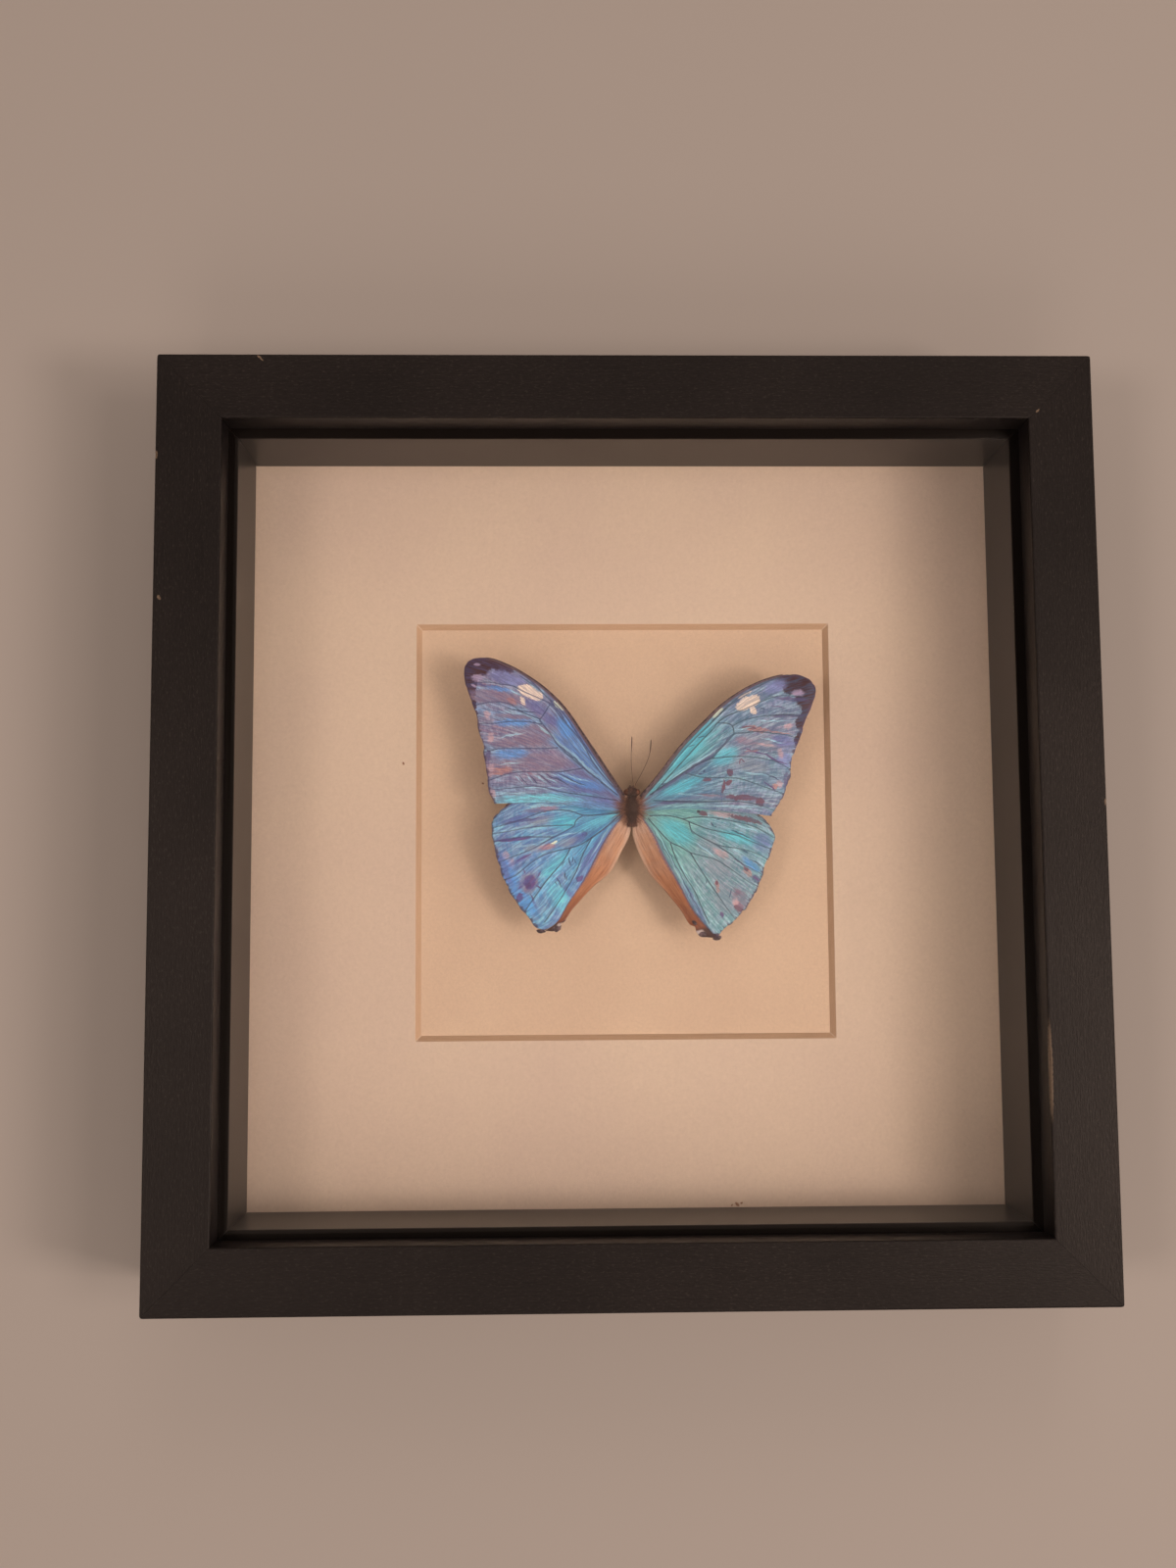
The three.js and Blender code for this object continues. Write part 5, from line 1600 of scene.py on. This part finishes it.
THORAX_RADII = (1.8, 4.1, 2.2)
HEAD_RADII = (1.55, 1.4, 1.3)
HEAD_FORWARD = 4.7
EYE_PLACE = (1.42, 4.85, 0.2)
EYE_RADIUS = 0.88
PALP_PLACE = (0.45, 6.1, 0.25)
PALP_RADII = (0.3, 0.75, 0.3)
HAIR_SEED = 41
THORAX_HAIRS = 3600
WING_BASE_HAIRS = 900
WAIST_HAIRS = 700
HEAD_HAIRS = 1300
STRAND_RINGS = ((0.0, 0.034), (0.4, 0.028), (0.75, 0.018))  # share of a hair's length, radius


def add_ball(name, middle, radii, segments=28, rings=18):
    """A round part of the body, placed from the middle of the thorax."""
    bpy.ops.mesh.primitive_uv_sphere_add(segments=segments, ring_count=rings, radius=MM,
                                         location=(THORAX + Vector(middle)) * MM, scale=radii)
    part = name_piece(name)
    settle(part)
    smooth_by_angle(part, 80)
    return part


def taper_thorax(piece):
    """Narrower at the neck and the waist, with a shallow groove between the two halves."""
    for point in piece.data.vertices:
        place = point.co / MM - THORAX
        forward = place.y / THORAX_RADII[1]
        place.x *= 1 - 0.12 * forward * forward
        if place.z > 0:
            place.z -= 0.25 * math.exp(-((place.y + 1.6) / 0.5) ** 2)
        point.co = (place + THORAX) * MM


def hair_points(roots, directions, lengths, droop, rng):
    """Rings of three points along each strand, bending over towards the droop, and its tip."""
    count = len(roots)
    side = np.cross(directions, rng.normal(size=(count, 3)))
    side /= np.linalg.norm(side, axis=1)[:, None]
    other = np.cross(directions, side)
    rings = []
    for share, radius in STRAND_RINGS:
        middle = roots + directions * (lengths * share)[:, None]
        middle = middle + droop * (lengths * share * share)[:, None]
        for angle in (0, 2 * math.pi / 3, 4 * math.pi / 3):
            rings.append(middle + radius * (math.cos(angle) * side + math.sin(angle) * other))
    tip = roots + directions * lengths[:, None] + droop * lengths[:, None]
    return np.stack([*rings, tip], axis=1)


STRAND_POINTS = 10
STRAND_FACES = [(2, 1, 0), (0, 1, 4, 3), (1, 2, 5, 4), (2, 0, 3, 5),
                (3, 4, 7, 6), (4, 5, 8, 7), (5, 3, 6, 8), (6, 7, 9), (7, 8, 9), (8, 6, 9)]


def hair_piece(name, points, tones):
    """A mesh of many closed strands, with one tone for each strand."""
    faces = [tuple(STRAND_POINTS * strand + corner for corner in face)
             for strand in range(len(points)) for face in STRAND_FACES]
    mesh = bpy.data.meshes.new(name)
    mesh.from_pydata(((points.reshape(-1, 3) + np.array(THORAX)) * MM).tolist(), [], faces)
    piece = new_object(name, mesh)
    keep_amounts(piece, tone=np.repeat(tones, STRAND_POINTS))
    return piece


def unit(vectors):
    return vectors / np.linalg.norm(vectors, axis=1)[:, None]


def thorax_hair(rng):
    """Short fur over the top of the thorax, combed to the rear and the sides."""
    count = THORAX_HAIRS
    ball = unit(rng.normal(size=(count, 3)))
    ball[:, 2] = np.abs(ball[:, 2]) - 0.25
    ball = unit(ball)
    roots = ball * (np.array(THORAX_RADII) - 0.06)
    outward = unit(ball / np.array(THORAX_RADII))
    comb = np.column_stack([0.5 * ball[:, 0], -0.75 * np.ones(count), 0.1 * np.ones(count)])
    directions = unit(outward * 0.75 + comb + rng.normal(scale=0.22, size=(count, 3)))
    lengths = rng.uniform(0.35, 0.85, count)
    droop = np.column_stack([0.2 * ball[:, 0], -0.2 * np.ones(count), -0.25 * np.ones(count)])
    tones = np.clip(0.16 + 0.3 * np.abs(ball[:, 0]) + rng.normal(scale=0.16, size=count), 0, 1)
    return hair_points(roots, directions, lengths, droop, rng), tones


def wing_base_hair(rng):
    """Longer, thinner hair that fans out from both sides of the thorax over the wings' roots."""
    count = WING_BASE_HAIRS
    side = np.where(rng.random(count) < 0.5, -1.0, 1.0)
    y = rng.uniform(-3.4, 3.2, count)
    roots = np.column_stack([side * rng.uniform(1.0, 1.9, count), y,
                             rng.uniform(0.5, 1.3, count)])
    fan = np.radians(11 * (y - 0.4) + rng.normal(scale=15, size=count))
    directions = np.column_stack([side * np.cos(fan), np.sin(fan),
                                  rng.normal(scale=0.08, size=count)])
    lengths = (0.5 + 3.0 * rng.random(count) ** 1.6) * (1 - 0.12 * np.abs(y - 0.4))
    droop = np.tile([0.0, -0.04, -0.12], (count, 1))
    tones = np.clip(0.62 + rng.normal(scale=0.26, size=count), 0, 1)
    return hair_points(roots, unit(directions), lengths, droop, rng), tones


def waist_hair(rng):
    """A brush of hair behind the thorax, where the abdomen was taken off."""
    count = WAIST_HAIRS
    around = rng.uniform(0, 2 * math.pi, count)
    reach = np.sqrt(rng.random(count))
    roots = np.column_stack([1.3 * reach * np.cos(around), -3.7 - 0.3 * (1 - reach),
                             0.1 + 1.1 * reach * np.sin(around)])
    directions = np.column_stack([0.35 * np.cos(around) * reach, -np.ones(count),
                                  0.3 * np.sin(around) * reach])
    directions = unit(directions + rng.normal(scale=0.14, size=(count, 3)))
    tones = np.clip(0.4 + rng.normal(scale=0.2, size=count), 0, 1)
    droop = np.tile([0.0, 0.0, -0.15], (count, 1))
    return hair_points(roots, directions, rng.uniform(0.6, 1.3, count), droop, rng), tones


def head_hair(rng):
    """A short crest between the eyes, the collar behind them, and the two brushy palps."""
    count = HEAD_HAIRS
    ball = unit(rng.normal(size=(count, 3)))
    ball[:, 2] = np.abs(ball[:, 2])
    ball[:, 0] *= 0.7
    ball = unit(ball)
    roots = ball * (np.array(HEAD_RADII) - 0.05) + np.array([0, HEAD_FORWARD - 0.15, 0])
    directions = unit(ball + np.array([0, 0.35, 0.2]) + rng.normal(scale=0.25, size=(count, 3)))
    droop = np.tile([0.0, 0.1, -0.1], (count, 1))
    tones = np.clip(0.35 + rng.normal(scale=0.2, size=count), 0, 1)
    return hair_points(roots, directions, rng.uniform(0.3, 0.7, count), droop, rng), tones


def dark_fur():
    """Dry brown hair, each strand of its own tone."""
    f = Finish("dark_fur")
    tone = f.attribute("tone")
    patches = f.noise(f.place(THORAX), 0.7, 2)
    colour = f.ramp(tone + (patches - 0.5) * 0.5, [
        (0.0, seen(58, 42, 38)), (0.4, seen(92, 62, 52)), (0.7, seen(140, 88, 68)),
        (1.0, seen(196, 138, 112))])
    return f.surface({"Base Color": colour, "Roughness": 0.5, "Sheen Weight": 0.3,
                      "Sheen Roughness": 0.4})


def brown_chitin():
    """The skin under the fur."""
    f = Finish("brown_chitin")
    place = f.place(THORAX)
    rough = f.noise(place, 2.0, 4)
    colour = f.mix(rough, seen(48, 32, 28), seen(96, 64, 50))
    return f.surface({"Base Color": colour, "Roughness": 0.55,
                      "Normal": f.bump(rough, 0.1, 0.6)})


def compound_eye():
    """A brown eye of tiny facets."""
    f = Finish("compound_eye")
    place = f.place(THORAX)
    facets = f.node("ShaderNodeTexVoronoi", None, {"Vector": place, "Scale": 9.0}, out="Distance")
    bands = f.noise(f.stretch(place, (0.8, 2.2, 0.8)), 1.0, 1)
    colour = f.mix(bands, seen(50, 28, 22), seen(112, 62, 42))
    return f.surface({"Base Color": colour, "Roughness": 0.18, "Coat Weight": 0.4,
                      "Normal": f.bump(facets, 0.03, 0.5)})


def antenna_chitin():
    """Thin brown antennae, ringed, and darker at the club."""
    f = Finish("antenna_chitin")
    place = f.place(THORAX)
    _, forward, _ = f.parts(place)
    rings = f.sum("SINE", forward * 21.0)
    colour = f.mix(forward.rise(15.0, 17.0), seen(122, 84, 62), seen(70, 44, 38))
    return f.surface({"Base Color": f.shade(colour, 0.95 + rings * 0.07), "Roughness": 0.45,
                      "Normal": f.bump(rings * 0.5 + 0.5, 0.05, 0.8)})


def add_body():
    rng = np.random.default_rng(HAIR_SEED)
    skin, eye, fur = brown_chitin(), compound_eye(), dark_fur()
    thorax = add_ball("furry_body", (0, 0, 0), THORAX_RADII)
    taper_thorax(thorax)
    give(thorax, skin)
    head = add_ball("head", (0, HEAD_FORWARD, 0), HEAD_RADII)
    give(head, skin)
    parts = [thorax, head]
    for side in (-1, 1):
        x, y, z = EYE_PLACE
        ball = add_ball("eye", (side * x, y, z), (EYE_RADIUS, EYE_RADIUS * 1.05, EYE_RADIUS),
                        segments=36, rings=24)
        give(ball, eye)
        x, y, z = PALP_PLACE
        palp = add_ball("palp", (side * x, y, z), PALP_RADII, segments=14, rings=10)
        give(palp, skin)
        parts += [ball, palp]
    for make in (thorax_hair, wing_base_hair, waist_hair, head_hair):
        points, tones = make(rng)
        hair = hair_piece(make.__name__, points, tones)
        give(hair, fur)
        parts.append(hair)
    body = join(parts)
    hand_over(body, "brown_body", "thorax_and_head")


ANTENNAE = {
    "left": [(0.4, 5.8, 0.6), (0.4, 6.8, 0.7), (0.05, 10.0, 0.95), (-0.15, 14.4, 1.25),
             (0.0, 17.6, 1.4), (0.1, 20.3, 1.5)],
    "right": [(0.7, 5.8, 0.6), (0.95, 6.8, 0.7), (2.7, 10.0, 0.95), (4.4, 13.6, 1.25),
              (5.1, 16.0, 1.35), (5.4, 19.4, 1.5)],
}
ANTENNA_RADIUS = 0.075
CLUB_RADIUS = 0.135
CLUB_SHARE = 0.7  # along the antenna, where the club begins
CLUB_SWELL = 0.14  # share of the length over which it reaches its full width
POINT_SHARE = 0.035  # of the length, where it narrows to its end
ANTENNA_STEPS = 90
ANTENNA_RINGS = 45
RING_HEIGHT = 0.06  # as a share of the radius


def add_antenna(side, finish):
    """A thin ringed tube along the antenna's line, thicker in its club."""
    line = smooth_line(ANTENNAE[side])
    shares = np.linspace(0, 1, ANTENNA_STEPS)
    points = (points_along(line, shares) + np.array(THORAX)) * MM
    swell = np.clip((shares - CLUB_SHARE) / CLUB_SWELL, 0, 1)
    point_off = np.clip((1 - shares) / POINT_SHARE, 0.25, 1)
    radii = (ANTENNA_RADIUS + (CLUB_RADIUS - ANTENNA_RADIUS) * swell) * point_off
    radii = radii * (1 + RING_HEIGHT * np.cos(shares * 2 * math.pi * ANTENNA_RINGS))
    antenna = add_tube(f"ringed_antenna_{side}", points, radii, sides=10)
    smooth_by_angle(antenna, 60)
    give(antenna, finish)
    hand_over(antenna, "brown_body", f"antenna_{side}")


# ---------------------------------------------------------------- dust and crumbs in the box

CRUMB_SEED = 7
CRUMB_WIDTH = 0.6  # as a share of the size
CRUMB_HEIGHT = 0.35
CRUMBS = [  # place on the mat or the sheet, size
    ((-62.6, 19.1), 0.45), ((-40.2, 13.4), 0.35), ((30.4, -104.4), 0.7), ((31.6, -104.0), 0.4),
    ((28.9, -104.6), 0.3),
]


def crumb_finish():
    """Dry brown flakes."""
    f = Finish("dry_crumbs")
    rough = f.noise(f.place(), 3.0, 3)
    return f.surface({"Base Color": f.mix(rough, seen(110, 70, 50), seen(176, 126, 96)),
                      "Roughness": 0.8, "Normal": f.bump(rough, 0.1, 0.5)})


def add_crumbs():
    """Dry flakes that lie on the mat and the sheet."""
    rng = np.random.default_rng(CRUMB_SEED)
    flakes = []
    for (x, y), size in CRUMBS:
        inside = max(abs(x), abs(y)) < WINDOW_HALF
        level = MAT_LOW.z if inside else MAT_HIGH.z
        height = size * CRUMB_HEIGHT
        bpy.ops.mesh.primitive_ico_sphere_add(
            subdivisions=2, radius=MM, location=Vector((x, y, level + height * 0.8)) * MM,
            scale=(size, size * CRUMB_WIDTH, height), rotation=(0, 0, rng.uniform(0, 3)))
        flake = name_piece("flake")
        settle(flake)
        roughen(flake, 3, size * 0.3)
        flakes.append(flake)
    crumbs = join(flakes)
    crumbs.name = "dry_crumbs"
    smooth_by_angle(crumbs, 50)
    give(crumbs, crumb_finish())
    hand_over(crumbs, "brown_body")


# ---------------------------------------------------------------- the floor

FLOOR_SIZE = 8  # metres
FLOOR_DROP = 0.05  # below the frame's rear side


def floor_finish():
    f = Finish("pale_floor")
    clouds = f.noise(f.place(), 0.004, 3)
    colour = f.mix(clouds, (0.72, 0.71, 0.70, 1), (0.75, 0.74, 0.73, 1))
    return f.surface({"Base Color": colour, "Roughness": 0.75})


def add_floor():
    bpy.ops.mesh.primitive_plane_add(size=FLOOR_SIZE, location=(0, 0, -FLOOR_DROP * MM))
    floor = name_piece("floor")
    settle(floor)
    give(floor, floor_finish())


add_frame()
add_wings()
add_body()
antenna_finish = antenna_chitin()
for side in ("left", "right"):
    add_antenna(side, antenna_finish)
add_crumbs()
add_floor()
